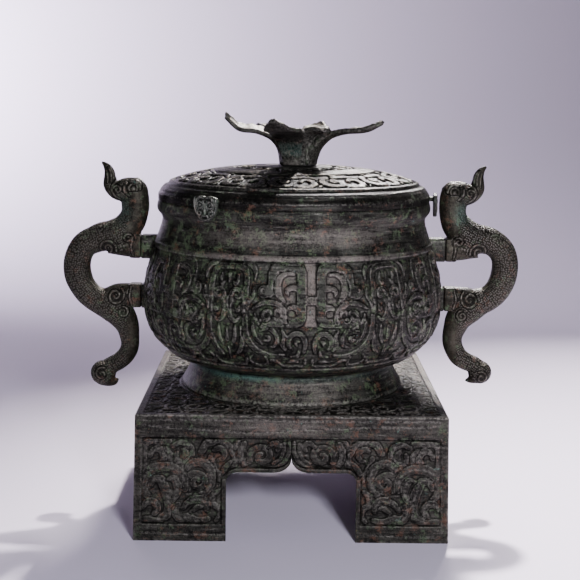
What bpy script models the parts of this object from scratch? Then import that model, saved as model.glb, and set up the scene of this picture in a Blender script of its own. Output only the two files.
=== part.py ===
"""Bronze gui: a lidded food bowl with two dragon handles, cast to stand on a hollow square plinth.

Metres, +Z up. The origin is on the ground under the middle of the plinth, and the front faces -Y.
"""

import math

import bmesh
import bpy
from mathutils import Matrix, Vector

# Gap left between pieces that were cast on their own and touch.
JOINT_GAP = 0.0003

# Square plinth: a box open below, with an arched opening in each side.
PLINTH_SIDE = 0.234
PLINTH_SPREAD = 0.004
PLINTH_HEIGHT = 0.0973
PLINTH_WALL = 0.0042
PLINTH_TOP_PLATE = 0.0042
LEG_WIDTH = 0.070
ARCH_HEIGHT = 0.0538
ARCH_FILLET = 0.008
CUSP_RISE = 0.0108
CUSP_REACH = 0.0135
PANEL_SIDE_BORDER = 0.0058
PANEL_FOOT_BORDER = 0.0125
PANEL_TOP_BORDER = 0.0165
PANEL_EDGE_BORDER = 0.0035
PANEL_DEPTH = 0.0016
SCROLL_WIDTH = 0.0052
SCROLL_HEIGHT = 0.0017
TOP_SCROLL_RADIUS = 0.013
TOP_SCROLL_INSET = 0.030

# Ring foot of the bowl.
FOOT_RADIUS = 0.0906
FOOT_WAIST_RADIUS = 0.0834
FOOT_HEIGHT = 0.0212
FOOT_EDGE_HEIGHT = 0.003
FOOT_WALL = 0.0040

# Bowl, with heights above the underside of its ring foot.
BELLY_RADIUS = 0.1212
BELLY_LEVEL = 0.0704
MOUTH_RADIUS = 0.1104
NECK_PINCH = 0.0032
NECK_LEVEL = 0.1360
NECK_HEIGHT = 0.0030
LIP_SWELL = 0.0008
MOUTH_LEVEL = 0.1514
BOWL_WALL = 0.0029
BOWL_FLOOR = 0.0038
LOWER_CURVE = 2.3
LOWER_FULLNESS = 0.655
SHOULDER_CURVE = 1.6
TURNED_SIDES = 26
INNER_SIDES = 16

# Fretwork band cast on the belly. Widths run along the girth, heights down from the top edge.
BAND_UNITS = 6
BAND_TURN = 6.0
BAND_TOP_LEVEL = 0.1144
BAND_COLLAR = 0.004
BAND_RELIEF = 0.0013
BAND_GROOVE = 0.0009
BAND_OVERLAP = 0.003
STEM_WIDTH = 0.0055
POST_WIDTH = 0.007
FIELD_WIDTH = 0.015
JAMB_GAP = 0.0130
JAMB_WIDTH = 0.0045
BAND_ROWS = (
    ("lintel", 0.0070),
    ("upper", 0.0165),
    ("bridge", 0.0060),
    ("lower", 0.0125),
    ("sill", 0.0070),
    ("heads", 0.0150),
    ("feet", 0.0140),
)
BAND_RAISED = {
    "lintel": {"post", "field", "hook", "jamb", "arch"},
    "upper": {"post", "hook", "jamb"},
    "bridge": {"stem", "post", "hook", "jamb_gap", "jamb", "arch"},
    "lower": {"post", "jamb"},
    "sill": {"post", "field", "hook", "jamb"},
    "heads": {"hook", "jamb"},
    "feet": {"field", "hook", "jamb"},
}

# Lid, with heights above its own rim. Its steps lie inside the rim, and its rings inside the raised step.
LID_RIM_HEIGHT = 0.0054
LID_SHOULDER_INSET = 0.0028
LID_SHOULDER_HEIGHT = 0.0093
LID_STEP_INSET = 0.0086
LID_STEP_HEIGHT = 0.0132
LID_STEP_RISE = 0.0017
LID_DOME_RISE = 0.0126
LID_DOME_CURVE = 3.0
LID_WALL = 0.0029
LID_SIDES = 42
LID_INNER_SIDES = 16
LID_RING_INSETS = (0.0058, 0.0118, 0.0218, 0.0298, 0.0568)
LID_RELIEF = 0.0014
HOOKS_COLUMNS = 3

# Crown of petals on the lid, a little right of its middle.
# Each petal has a bearing, a reach, the height of its tip and a width.
CROWN_OFFSET = 0.0028
CROWN_FOOT_RADIUS = 0.0148
CROWN_FOOT_HEIGHT = 0.0060
PETAL_ROOT_RADIUS = 0.0108
PETAL_ROOT_WIDTH = 0.0168
PETAL_THICKNESS = 0.0042
PETAL_BEND_HEIGHT = 0.0230
PETALS = (
    ("front", 255.5, 0.0800, 0.0365, 0.0270),
    ("near_right", 300.0, 0.0430, 0.0290, 0.0180),
    ("front_right", 330.0, 0.0755, 0.0357, 0.0200),
    ("back_right", 55.0, 0.0350, 0.0335, 0.0200),
    ("back_left", 116.0, 0.0780, 0.0290, 0.0200),
    ("left", 186.0, 0.0590, 0.0412, 0.0200),
)

# Beast-mask clasps that hang from the lid's rim over the bowl's lip, each with its bearing and its sag.
CLASPS = (
    ("front_left", -35.0, 0.0000),
    ("right", 85.0, 0.0024),
    ("back_left", 205.0, 0.0010),
)
CLASP_WIDTH = 0.022
CLASP_HEIGHT = 0.0190
CLASP_DROP = 0.0098
CLASP_THICKNESS = 0.0030
CLASP_STANDOFF = 0.0022
CLASP_ARM_HEIGHT = 0.0034
CLASP_ARM_WIDTH = 0.012
CLASP_EYE_RADIUS = 0.0029

# Lugs cast on the bowl that carry the handles, and keep them clear of the clasps.
# Levels are above the underside of the ring foot.
LUG_THICKNESS = 0.014
LUG_REACH = 0.0033
CLASP_CLEARANCE = 0.0075
UPPER_LUG_LEVEL = 0.1115
UPPER_LUG_HEIGHT = 0.0190
LOWER_LUG_LEVEL = 0.0707
LOWER_LUG_HEIGHT = 0.0195

# Handles: a dragon whose spine runs from nape to tail. Its points are (distance beyond the lugs' face,
# height above the underside of the ring foot, half width).
HANDLE_FLATNESS = 0.78
HANDLE_SIDES = 8
HANDLE_SPINE = (
    (0.0055, 0.1574, 0.0100),
    (0.0053, 0.1454, 0.0115),
    (0.0070, 0.1364, 0.0118),
    (0.0135, 0.1269, 0.0130),
    (0.0235, 0.1209, 0.0125),
    (0.0365, 0.1184, 0.0114),
    (0.0460, 0.1124, 0.0112),
    (0.0517, 0.1024, 0.0113),
    (0.0519, 0.0904, 0.0114),
    (0.0483, 0.0796, 0.0114),
    (0.0410, 0.0714, 0.0112),
    (0.0305, 0.0652, 0.0120),
    (0.0205, 0.0576, 0.0124),
    (0.0130, 0.0469, 0.0102),
    (0.0098, 0.0364, 0.0088),
    (0.0109, 0.0274, 0.0084),
    (0.0160, 0.0194, 0.0080),
    (0.0230, 0.0144, 0.0072),
    (0.0315, 0.0104, 0.0080),
    (0.0367, 0.0072, 0.0080),
    (0.0410, 0.0042, 0.0030),
)
HANDLE_BEAK = (
    (0.0365, 0.0059, 0.0062),
    (0.0335, 0.0009, 0.0062),
    (0.0265, -0.0006, 0.0038),
    (0.0205, 0.0007, 0.0009),
)
HANDLE_HEAD = (
    (-0.0027, 0.1609, 0.0018),
    (0.0017, 0.1598, 0.0062),
    (0.0090, 0.1586, 0.0088),
    (0.0170, 0.1574, 0.0092),
    (0.0231, 0.1599, 0.0073),
    (0.0254, 0.1664, 0.0055),
    (0.0253, 0.1726, 0.0049),
    (0.0280, 0.1776, 0.0030),
    (0.0325, 0.1804, 0.0007),
)
HANDLE_CREST = (
    (0.0155, 0.1621, 0.0050),
    (0.0085, 0.1634, 0.0043),
    (0.0017, 0.1630, 0.0034),
    (-0.0035, 0.1616, 0.0013),
)
# Limbs that join the spine to the lugs: each outline runs out along its underside and back along its top.
HANDLE_UPPER_ARM = (
    (0.0085, 0.1037),
    (0.0186, 0.1057),
    (0.0255, 0.1080),
    (0.0315, 0.1134),
    (0.0255, 0.1224),
    (0.0115, 0.1284),
)
HANDLE_LOWER_ARM = (
    (0.0095, 0.0594),
    (0.0255, 0.0624),
    (0.0285, 0.0754),
    (0.0212, 0.0787),
    (0.0102, 0.0812),
)
HANDLE_EYE_RADIUS = 0.0036
HANDLE_EYE_PLACE = (0.0150, 0.1614)

# Radii and levels above the ground, worked out from the sizes above.
NECK_RADIUS = MOUTH_RADIUS - NECK_PINCH
LIP_RADIUS = MOUTH_RADIUS + LIP_SWELL
LID_STEP_RADIUS = MOUTH_RADIUS - LID_STEP_INSET
LID_RINGS = tuple(LID_STEP_RADIUS - inset for inset in LID_RING_INSETS)
CLASP_FACE = LIP_RADIUS + CLASP_STANDOFF + CLASP_THICKNESS
LUG_FACE = max(BELLY_RADIUS + LUG_REACH, CLASP_FACE + CLASP_CLEARANCE)
BOWL_BASE = PLINTH_HEIGHT + JOINT_GAP
LID_BASE = BOWL_BASE + MOUTH_LEVEL + JOINT_GAP
LID_CROWN_LEVEL = LID_BASE + LID_STEP_HEIGHT + LID_STEP_RISE + LID_DOME_RISE


def clear_scene():
    """Remove whatever the scene starts with."""
    for found in list(bpy.data.objects):
        bpy.data.objects.remove(found)


def new_collection(name):
    """Return a new collection linked to the scene."""
    made = bpy.data.collections.new(name)
    bpy.context.scene.collection.children.link(made)
    return made


def bronze(name, colour, roughness, metallic):
    """Return a Principled material for one of the bronze's patinas."""
    made = bpy.data.materials.new(name)
    made.use_nodes = True
    shader = made.node_tree.nodes["Principled BSDF"]
    shader.inputs["Base Color"].default_value = (*colour, 1.0)
    shader.inputs["Roughness"].default_value = roughness
    shader.inputs["Metallic"].default_value = metallic
    return made


def object_of(mesh, name, collection):
    """Link a mesh as a new object."""
    made = bpy.data.objects.new(name, mesh)
    collection.objects.link(made)
    return made


def object_from(bm, name, collection):
    """Turn a finished bmesh into an object with its faces pointing out."""
    bmesh.ops.recalc_face_normals(bm, faces=bm.faces)
    mesh = bpy.data.meshes.new(name)
    bm.to_mesh(mesh)
    bm.free()
    return object_of(mesh, name, collection)


def helper(obj):
    """Mark an object as a tool that only cuts or joins."""
    obj.hide_render = True
    obj.display_type = "WIRE"
    return obj


def moved(obj, collection):
    """Take a new object out of every other collection and put it in this one."""
    for linked in list(obj.users_collection):
        linked.objects.unlink(obj)
    collection.objects.link(obj)
    return obj


def boolean(target, tool, operation):
    """Cut a tool from a target, or join it on."""
    modifier = target.modifiers.new(f"{operation.lower()} {tool.name}", "BOOLEAN")
    modifier.operation = operation
    modifier.solver = "EXACT"
    modifier.object = helper(tool)


def applied(obj):
    """Replace an object's mesh by the one its modifiers make."""
    bpy.context.view_layer.update()
    graph = bpy.context.evaluated_depsgraph_get()
    mesh = bpy.data.meshes.new_from_object(obj.evaluated_get(graph))
    obj.modifiers.clear()
    obj.data = mesh
    return obj


def turned(name, profile, sides, collection):
    """Turn a profile of (radius, height) points, given from top to bottom, about the Z axis."""
    mesh = bpy.data.meshes.new(name)
    mesh.from_pydata([(r, 0.0, z) for r, z in profile], [(i, i + 1) for i in range(len(profile) - 1)], [])
    made = object_of(mesh, name, collection)
    screw = made.modifiers.new("turn", "SCREW")
    screw.steps = sides
    screw.render_steps = sides
    screw.use_merge_vertices = True
    screw.merge_threshold = 0.00001
    return made


def slab(name, outline, half_thickness, collection):
    """Extrude a flat outline of (x, z) points along Y, by half its thickness each way."""
    curve = bpy.data.curves.new(name, "CURVE")
    curve.dimensions = "2D"
    curve.fill_mode = "BOTH"
    curve.extrude = half_thickness
    spline = curve.splines.new("POLY")
    spline.points.add(len(outline) - 1)
    for point, (x, z) in zip(spline.points, outline):
        point.co = (x, z, 0.0, 1.0)
    spline.use_cyclic_u = True
    flat = object_of(curve, name + "_outline", collection)
    bpy.context.view_layer.update()
    graph = bpy.context.evaluated_depsgraph_get()
    bm = bmesh.new()
    bm.from_mesh(bpy.data.meshes.new_from_object(flat.evaluated_get(graph)))
    bpy.data.objects.remove(flat)
    bmesh.ops.remove_doubles(bm, verts=bm.verts, dist=1e-6)
    bmesh.ops.transform(bm, matrix=Matrix.Rotation(math.radians(90), 4, "X"), verts=bm.verts)
    return object_from(bm, name, collection)


def arc(centre, radius, start, end, steps):
    """Points on an arc, with angles in degrees."""
    x, z = centre
    turns = [math.radians(start + (end - start) * i / steps) for i in range(steps + 1)]
    return [(x + radius * math.cos(t), z + radius * math.sin(t)) for t in turns]


def spiral(centre, outer, inner, start, end, steps):
    """Points on a spiral that closes from its outer to its inner radius."""
    x, z = centre
    points = []
    for i in range(steps + 1):
        share = i / steps
        turn = math.radians(start + (end - start) * share)
        radius = outer + (inner - outer) * share
        points.append((x + radius * math.cos(turn), z + radius * math.sin(turn)))
    return points


def ridge(bm, path, width, height, place):
    """Loft a three-sided ridge along a flat path, narrower at both ends. `place` puts it on its surface."""
    sections = []
    last = len(path) - 1
    for i, point in enumerate(path):
        before = Vector(path[max(i - 1, 0)])
        after = Vector(path[min(i + 1, last)])
        along = (after - before).normalized()
        across = Vector((-along.y, along.x))
        half = 0.5 * width * (0.45 if i in (0, last) else 1.0)
        here = Vector(point)
        left, right = here + across * half, here - across * half
        sections.append(
            (
                bm.verts.new(place(left.x, left.y, -0.5 * height)),
                bm.verts.new(place(here.x, here.y, height)),
                bm.verts.new(place(right.x, right.y, -0.5 * height)),
            )
        )
    for first, second in zip(sections, sections[1:]):
        for i in range(3):
            j = (i + 1) % 3
            bm.faces.new((first[i], first[j], second[j], second[i]))
    bm.faces.new(sections[0])
    bm.faces.new(tuple(reversed(sections[-1])))


def arch_outline(grow):
    """The opening in a side of the plinth, from its left foot over the two-lobed top, larger by `grow`."""
    half = 0.5 * (PLINTH_SIDE + PLINTH_SPREAD) - LEG_WIDTH + grow
    top = ARCH_HEIGHT + grow
    cusp = ARCH_HEIGHT + CUSP_RISE + grow
    left = arc((-half + ARCH_FILLET, top - ARCH_FILLET), ARCH_FILLET, 180.0, 90.0, 2)
    lobe_turn = math.atan2(CUSP_RISE, CUSP_REACH)
    lobe = [
        (-CUSP_REACH * (1.0 - math.sin(turn)), top + CUSP_RISE * (1.0 - math.cos(turn)))
        for turn in (0.0, lobe_turn, math.radians(90.0))
    ]
    rising = left + lobe[:-1]
    return rising + [(0.0, cusp)] + [(-x, z) for x, z in reversed(rising)]


def side_scrolls(full):
    """Scrolls on the left half of a plinth side, placed from its middle and the ground."""
    edge = -0.5 * PLINTH_SIDE + PANEL_SIDE_BORDER
    foot = PANEL_FOOT_BORDER
    top = PLINTH_HEIGHT - PANEL_TOP_BORDER
    leg = LEG_WIDTH - PANEL_SIDE_BORDER
    tall = top - foot
    line = 0.5 * SCROLL_WIDTH
    big = 0.22 * leg
    curl = 0.18 * leg
    apron = 0.5 * (top - ARCH_HEIGHT) - line
    apron_middle = ARCH_HEIGHT + apron + 2.0 * line
    hook = [
        (edge + 0.31 * leg, top - line),
        (edge + 2.0 * line, top - line),
        (edge + line, top - 2.0 * line),
        (edge + line, top - 0.30 * tall),
    ]
    crest = spiral((edge + 0.42 * leg, top - 0.22 * tall), 0.115 * leg, 0.05 * leg, 200.0, -60.0, 4)
    leaf = spiral((edge + 0.88 * leg, top - 0.21 * tall), 0.155 * leg, 0.07 * leg, 215.0, -40.0, 5)
    leaf.insert(0, (edge + 0.93 * leg, top - 0.50 * tall))
    big_scroll = spiral((edge + big + line, foot + 0.42 * tall), big, 0.6 * big, -20.0, 240.0, 6)
    right_curl = spiral((edge + 0.66 * leg, foot + 0.50 * tall), curl, 0.45 * curl, 190.0, -100.0, 4)
    stem = [
        (edge + 0.42 * leg, foot + 0.33 * tall),
        (edge + 0.33 * leg, foot + 0.24 * tall),
        (edge + 0.31 * leg, foot + 0.10 * tall),
        (edge + 0.20 * leg, foot + 1.2 * line),
        (edge + line, foot + 1.4 * line),
    ]
    base = [
        (edge + 0.42 * leg, foot + 0.18 * tall),
        (edge + 0.45 * leg, foot + 1.6 * line),
        (edge + 0.85 * leg, foot + line),
        (edge + leg - 2.2 * line, foot + 0.14 * tall),
        (edge + leg - 3.0 * line, foot + 0.38 * tall),
    ]
    apron_spiral = spiral((-0.105 * PLINTH_SIDE, apron_middle), 0.9 * apron, 0.35 * apron, 150.0, -110.0, 4)
    lobe_line = [
        (-2.0 * line, top - line),
        (-1.9 * line, ARCH_HEIGHT + 1.15 * CUSP_RISE),
        (-0.8 * CUSP_REACH, ARCH_HEIGHT + 0.62 * CUSP_RISE),
        (-1.35 * CUSP_REACH, ARCH_HEIGHT + 1.8 * line),
    ]
    plain = [big_scroll, right_curl, base, apron_spiral]
    return plain + [hook, crest, leaf, stem, lobe_line] if full else plain


def side_matrix(turn):
    """Place a flat side: x along the side, y up the sloping wall and z outwards."""
    lean = math.atan2(0.5 * PLINTH_SPREAD, PLINTH_HEIGHT)
    out = 0.5 * (PLINTH_SIDE + PLINTH_SPREAD)
    stand = Matrix.Rotation(math.radians(90) - lean, 4, "X")
    return Matrix.Rotation(math.radians(turn), 4, "Z") @ Matrix.Translation((0.0, -out, 0.0)) @ stand


def build_plinth(parts, tools, finish):
    """A hollow box with four arched sides, sunk panels and raised scrolls."""
    outer = 0.5 * (PLINTH_SIDE + PLINTH_SPREAD)
    bpy.ops.mesh.primitive_cube_add(size=1.0)
    made = bpy.context.object
    bpy.ops.mesh.primitive_cube_add(size=1.0)
    hollow = bpy.context.object
    for box, wall, low, high in (
        (made, 0.0, 0.0, PLINTH_HEIGHT),
        (hollow, PLINTH_WALL, -PLINTH_WALL, PLINTH_HEIGHT - PLINTH_TOP_PLATE),
    ):
        for vert in box.data.vertices:
            up = vert.co.z > 0.0
            z = high if up else low
            half = outer - wall - 0.5 * PLINTH_SPREAD * z / PLINTH_HEIGHT
            vert.co = (math.copysign(half, vert.co.x), math.copysign(half, vert.co.y), z)
    made.name = "plinth"
    hollow.name = "plinth_hollow"
    moved(made, parts)
    boolean(made, moved(hollow, tools), "DIFFERENCE")
    for name, turn in (("plinth_arch_y", 0.0), ("plinth_arch_x", 90.0)):
        opening = arch_outline(0.0)
        low = [(opening[0][0], -PLINTH_WALL), *opening, (opening[-1][0], -PLINTH_WALL)]
        cutter = slab(name, low, PLINTH_SIDE, tools)
        cutter.data.transform(Matrix.Rotation(math.radians(turn), 4, "Z"))
        boolean(made, cutter, "DIFFERENCE")

    half = 0.5 * PLINTH_SIDE - PANEL_SIDE_BORDER
    top = PLINTH_HEIGHT - PANEL_TOP_BORDER
    inner = arch_outline(PANEL_EDGE_BORDER)
    inner[0] = (inner[0][0], PANEL_FOOT_BORDER)
    inner[-1] = (inner[-1][0], PANEL_FOOT_BORDER)
    frame = [(-half, PANEL_FOOT_BORDER), (-half, top), (half, top), (half, PANEL_FOOT_BORDER)]
    for turn in (0.0, 90.0, 180.0, 270.0):
        panel = slab(f"plinth_panel_{turn:.0f}", frame + list(reversed(inner)), PANEL_DEPTH, tools)
        panel.data.transform(side_matrix(turn) @ Matrix.Rotation(math.radians(-90), 4, "X"))
        boolean(made, panel, "DIFFERENCE")
    applied(made)

    for turn in (0.0, 90.0, 180.0, 270.0):
        matrix = side_matrix(turn)

        def on_side(x, y, out):
            return matrix @ Vector((x, y, out - PANEL_DEPTH))

        for number, path in enumerate(side_scrolls(turn == 0.0)):
            for mirror in (1.0, -1.0):
                bm = bmesh.new()
                flat = [(mirror * x, y) for x, y in path]
                ridge(bm, flat, SCROLL_WIDTH, SCROLL_HEIGHT, on_side)
                side = "left" if mirror > 0.0 else "right"
                scroll = object_from(bm, f"plinth_scroll_{turn:.0f}_{number}_{side}", tools)
                boolean(made, scroll, "UNION")
    add_top_scrolls(made, tools)
    applied(made)
    made.data.materials.append(finish)
    return made


def add_top_scrolls(plinth, tools):
    """Raise a scroll in each corner of the plinth's top."""
    corner = 0.5 * PLINTH_SIDE - TOP_SCROLL_INSET
    radius = TOP_SCROLL_RADIUS
    path = spiral((0.0, 0.0), radius, 0.4 * radius, 190.0, -100.0, 5)
    path.insert(0, (-1.6 * radius, 0.9 * radius))
    for turn in (0.0, 90.0, 180.0, 270.0):
        matrix = Matrix.Rotation(math.radians(turn), 4, "Z")
        matrix = matrix @ Matrix.Translation((corner, corner, PLINTH_HEIGHT))

        def on_top(x, y, out):
            return matrix @ Vector((x, y, out - 0.4 * SCROLL_HEIGHT))

        bm = bmesh.new()
        ridge(bm, path, 0.8 * SCROLL_WIDTH, 0.8 * SCROLL_HEIGHT, on_top)
        boolean(plinth, object_from(bm, f"plinth_top_scroll_{turn:.0f}", tools), "UNION")


def belly_radius(level):
    """Outer radius of the bare bowl at a level above the underside of its foot."""
    if level < BELLY_LEVEL:
        drop = (BELLY_LEVEL - level) / (BELLY_LEVEL - FOOT_HEIGHT)
        full = (1.0 - min(drop, 1.0) ** LOWER_CURVE) ** LOWER_FULLNESS
        return FOOT_WAIST_RADIUS + (BELLY_RADIUS - FOOT_WAIST_RADIUS) * full
    rise = min((level - BELLY_LEVEL) / (NECK_LEVEL - BELLY_LEVEL), 1.0)
    return BELLY_RADIUS - (BELLY_RADIUS - NECK_RADIUS) * rise**SHOULDER_CURVE


def foot_radius(level):
    """Outer radius of the flared ring foot at a level above its underside."""
    share = (FOOT_HEIGHT - level) / (FOOT_HEIGHT - FOOT_EDGE_HEIGHT)
    return FOOT_WAIST_RADIUS + (FOOT_RADIUS - FOOT_WAIST_RADIUS) * min(share, 1.0) ** 1.5


def band_columns():
    """Names and shares of the girth of the fretwork's columns, in order round one unit."""
    girth = 2.0 * math.pi * BELLY_RADIUS / BAND_UNITS
    half = [("post", POST_WIDTH), ("field", FIELD_WIDTH), ("hook", POST_WIDTH), ("jamb_gap", JAMB_GAP)]
    half.append(("jamb", JAMB_WIDTH))
    arch = girth - STEM_WIDTH - 2.0 * sum(width for _, width in half)
    unit = [("stem", STEM_WIDTH), *half, ("arch", arch), *reversed(half)]
    return [(name, width / girth) for name, width in unit]


def raised_cells(bm, cells, offset):
    """Extrude the given faces and move what they become by `offset(point)`."""
    grown = bmesh.ops.extrude_face_region(bm, geom=cells)["geom"]
    for vert in [item for item in grown if isinstance(item, bmesh.types.BMVert)]:
        vert.co += offset(vert.co)
    bmesh.ops.delete(bm, geom=[face for face in cells if face.is_valid], context="FACES")
    bmesh.ops.recalc_face_normals(bm, faces=bm.faces)


def build_band(tools):
    """The decorated belt of the belly: a turned drum whose fretwork cells are raised."""
    levels = [BAND_TOP_LEVEL]
    for _, height in BAND_ROWS:
        levels.append(levels[-1] - height)
    rows = [(belly_radius(level), BOWL_BASE + level) for level in levels]
    columns = band_columns()
    profile = [(0.0, rows[0][1]), *rows, (0.0, rows[-1][1])]
    band = turned("bowl_band", profile, len(columns) * BAND_UNITS, tools)
    applied(band)

    steps = len(columns) * BAND_UNITS
    edges = [0.0]
    for _, share in columns * BAND_UNITS:
        edges.append(edges[-1] + share / BAND_UNITS)
    start = math.radians(-90.0 + BAND_TURN) - 2.0 * math.pi * 0.5 * columns[0][1] / BAND_UNITS
    bm = bmesh.new()
    bm.from_mesh(band.data)
    bmesh.ops.recalc_face_normals(bm, faces=bm.faces)
    names = {}
    for face in bm.faces:
        middle = face.calc_center_median()
        column = int((math.atan2(middle.y, middle.x) % math.tau) / math.tau * steps)
        level = middle.z - BOWL_BASE
        row = next((i for i, (high, low) in enumerate(zip(levels, levels[1:])) if low < level < high), None)
        if row is not None and abs(face.normal.z) < 0.95:
            names[face] = (BAND_ROWS[row][0], columns[column % len(columns)][0])
    for vert in bm.verts:
        radius = math.hypot(vert.co.x, vert.co.y)
        if radius > 1e-6:
            turn = math.atan2(vert.co.y, vert.co.x) % math.tau
            angle = start + math.tau * edges[round(turn / math.tau * steps) % steps]
            vert.co.x, vert.co.y = radius * math.cos(angle), radius * math.sin(angle)

    def outwards(point):
        return Vector((point.x, point.y, 0.0)).normalized() * BAND_RELIEF

    raised_cells(bm, [face for face, (row, column) in names.items() if column in BAND_RAISED[row]], outwards)
    bm.to_mesh(band.data)
    bm.free()
    return band


def lug(name, level, height, tools):
    """A block through the bowl's wall on both sides, that the handles are joined to."""
    bpy.ops.mesh.primitive_cube_add(size=1.0)
    made = bpy.context.object
    made.name = name
    made.data.transform(Matrix.Diagonal((2.0 * LUG_FACE, LUG_THICKNESS, height, 1.0)))
    made.data.transform(Matrix.Translation((0.0, 0.0, BOWL_BASE + level)))
    return moved(made, tools)


def build_bowl(parts, tools, finish):
    """The bowl on its ring foot, hollow, with a fretwork belt and four lugs."""
    collar = BAND_TOP_LEVEL + BAND_COLLAR
    bottom = BAND_TOP_LEVEL - sum(height for _, height in BAND_ROWS)
    core = belly_radius(BAND_TOP_LEVEL) - BAND_RELIEF
    seat = belly_radius(bottom) - BAND_RELIEF
    neck_top = NECK_LEVEL + NECK_HEIGHT
    lip = MOUTH_LEVEL - neck_top
    flare_middle = 0.58 * LIP_RADIUS + 0.42 * NECK_RADIUS
    outer = [(0.0, MOUTH_LEVEL), (MOUTH_RADIUS, MOUTH_LEVEL), (LIP_RADIUS, MOUTH_LEVEL - 0.35 * lip)]
    outer += [(flare_middle, neck_top + 0.25 * lip), (NECK_RADIUS, neck_top)]
    outer += [(belly_radius(level), level) for level in (NECK_LEVEL, collar)]
    outer += [(belly_radius(BAND_TOP_LEVEL) + BAND_RELIEF, BAND_TOP_LEVEL + BAND_GROOVE)]
    outer += [(core, BAND_TOP_LEVEL + BAND_GROOVE), (core, BAND_TOP_LEVEL - BAND_OVERLAP)]
    outer += [(0.0, BAND_TOP_LEVEL - BAND_OVERLAP)]
    neck = turned("bowl_neck", [(r, BOWL_BASE + z) for r, z in outer], TURNED_SIDES, tools)

    under = [bottom - BAND_OVERLAP, 0.4 * bottom + 0.6 * FOOT_HEIGHT, FOOT_HEIGHT + 0.001]
    flare = [FOOT_HEIGHT, 0.45 * FOOT_HEIGHT, FOOT_EDGE_HEIGHT]
    lower = [(0.0, bottom + BAND_OVERLAP), (seat, bottom + BAND_OVERLAP)]
    lower += [(belly_radius(level), level) for level in under]
    lower += [(foot_radius(level), level) for level in flare] + [(FOOT_RADIUS, 0.0), (0.0, 0.0)]
    made = turned("bowl", [(r, BOWL_BASE + z) for r, z in lower], TURNED_SIDES, parts)
    boolean(made, build_band(tools), "UNION")
    boolean(made, neck, "UNION")
    boolean(made, lug("bowl_upper_lugs", UPPER_LUG_LEVEL, UPPER_LUG_HEIGHT, tools), "UNION")
    boolean(made, lug("bowl_lower_lugs", LOWER_LUG_LEVEL, LOWER_LUG_HEIGHT, tools), "UNION")

    floor = FOOT_HEIGHT + BOWL_FLOOR
    inside = [NECK_LEVEL, 0.55 * NECK_LEVEL + 0.45 * BELLY_LEVEL, BELLY_LEVEL]
    inside += [0.5 * (BELLY_LEVEL + floor)]
    cavity = [(0.0, MOUTH_LEVEL + BOWL_WALL), (NECK_RADIUS - BOWL_WALL, MOUTH_LEVEL + BOWL_WALL)]
    cavity += [(belly_radius(level) - BOWL_WALL, level) for level in inside]
    cavity += [(FOOT_WAIST_RADIUS - BOWL_WALL + 0.006, floor + 0.0035)]
    cavity += [(FOOT_WAIST_RADIUS - 0.02, floor), (0.0, floor)]
    inside_tool = turned("bowl_inside", [(r, BOWL_BASE + z) for r, z in cavity], INNER_SIDES, tools)
    boolean(made, inside_tool, "DIFFERENCE")
    waist = FOOT_WAIST_RADIUS - FOOT_WALL
    ceiling = FOOT_HEIGHT - 0.0005
    hollow = [(0.0, ceiling), (waist, ceiling)]
    hollow += [(FOOT_RADIUS - FOOT_WALL, -FOOT_WALL), (0.0, -FOOT_WALL)]
    foot_tool = turned("bowl_foot_hollow", [(r, BOWL_BASE + z) for r, z in hollow], INNER_SIDES, tools)
    boolean(made, foot_tool, "DIFFERENCE")
    applied(made)
    made.data.materials.append(finish)
    return made


def dome_height(radius):
    """Height of the lid's outer dome above the rim, inside its raised step."""
    fall = (radius / LID_STEP_RADIUS) ** LID_DOME_CURVE
    return LID_STEP_HEIGHT + LID_STEP_RISE + LID_DOME_RISE * (1.0 - fall)


def build_lid(parts, tools, finish):
    """The domed lid, hollow below, with a ring of running hooks."""
    dome = [(0.0, dome_height(0.0))] + [(r, dome_height(r)) for r in reversed(LID_RINGS)]
    dome += [(LID_STEP_RADIUS, LID_STEP_HEIGHT + LID_STEP_RISE), (LID_STEP_RADIUS, LID_STEP_HEIGHT)]
    rim = [
        (MOUTH_RADIUS - LID_SHOULDER_INSET, LID_SHOULDER_HEIGHT),
        (MOUTH_RADIUS, LID_RIM_HEIGHT),
        (MOUTH_RADIUS, 0.0),
        (0.0, 0.0),
    ]
    made = turned("lid", [(r, LID_BASE + z) for r, z in dome + rim], LID_SIDES, parts)
    applied(made)
    bm = bmesh.new()
    bm.from_mesh(made.data)
    bmesh.ops.recalc_face_normals(bm, faces=bm.faces)
    outer, upper, lower, inner = LID_RINGS[:4]
    cells = []
    for face in bm.faces:
        middle = face.calc_center_median()
        radius = math.hypot(middle.x, middle.y)
        column = int((math.atan2(middle.y, middle.x) % math.tau) / math.tau * LID_SIDES) % HOOKS_COLUMNS
        if face.normal.z < 0.3:
            continue
        on_outer = upper < radius < outer and column < HOOKS_COLUMNS - 1
        on_back = lower < radius < upper and column == 0
        on_inner = inner < radius < lower and column < HOOKS_COLUMNS - 1
        if on_outer or on_back or on_inner:
            cells.append(face)
    raised_cells(bm, cells, lambda point: Vector((0.0, 0.0, LID_RELIEF)))
    bm.to_mesh(made.data)
    bm.free()
    wall = LID_WALL
    inside = [(0.0, dome_height(0.0) - wall)]
    inside += [(r, dome_height(r) - wall) for r in (LID_RINGS[4], LID_RINGS[1])]
    inside += [(NECK_RADIUS - wall, LID_RIM_HEIGHT), (NECK_RADIUS - wall, -wall), (0.0, -wall)]
    cavity = turned("lid_inside", [(r, LID_BASE + z) for r, z in inside], LID_INNER_SIDES, tools)
    boolean(made, cavity, "DIFFERENCE")
    applied(made)
    made.data.materials.append(finish)
    return made


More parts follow.
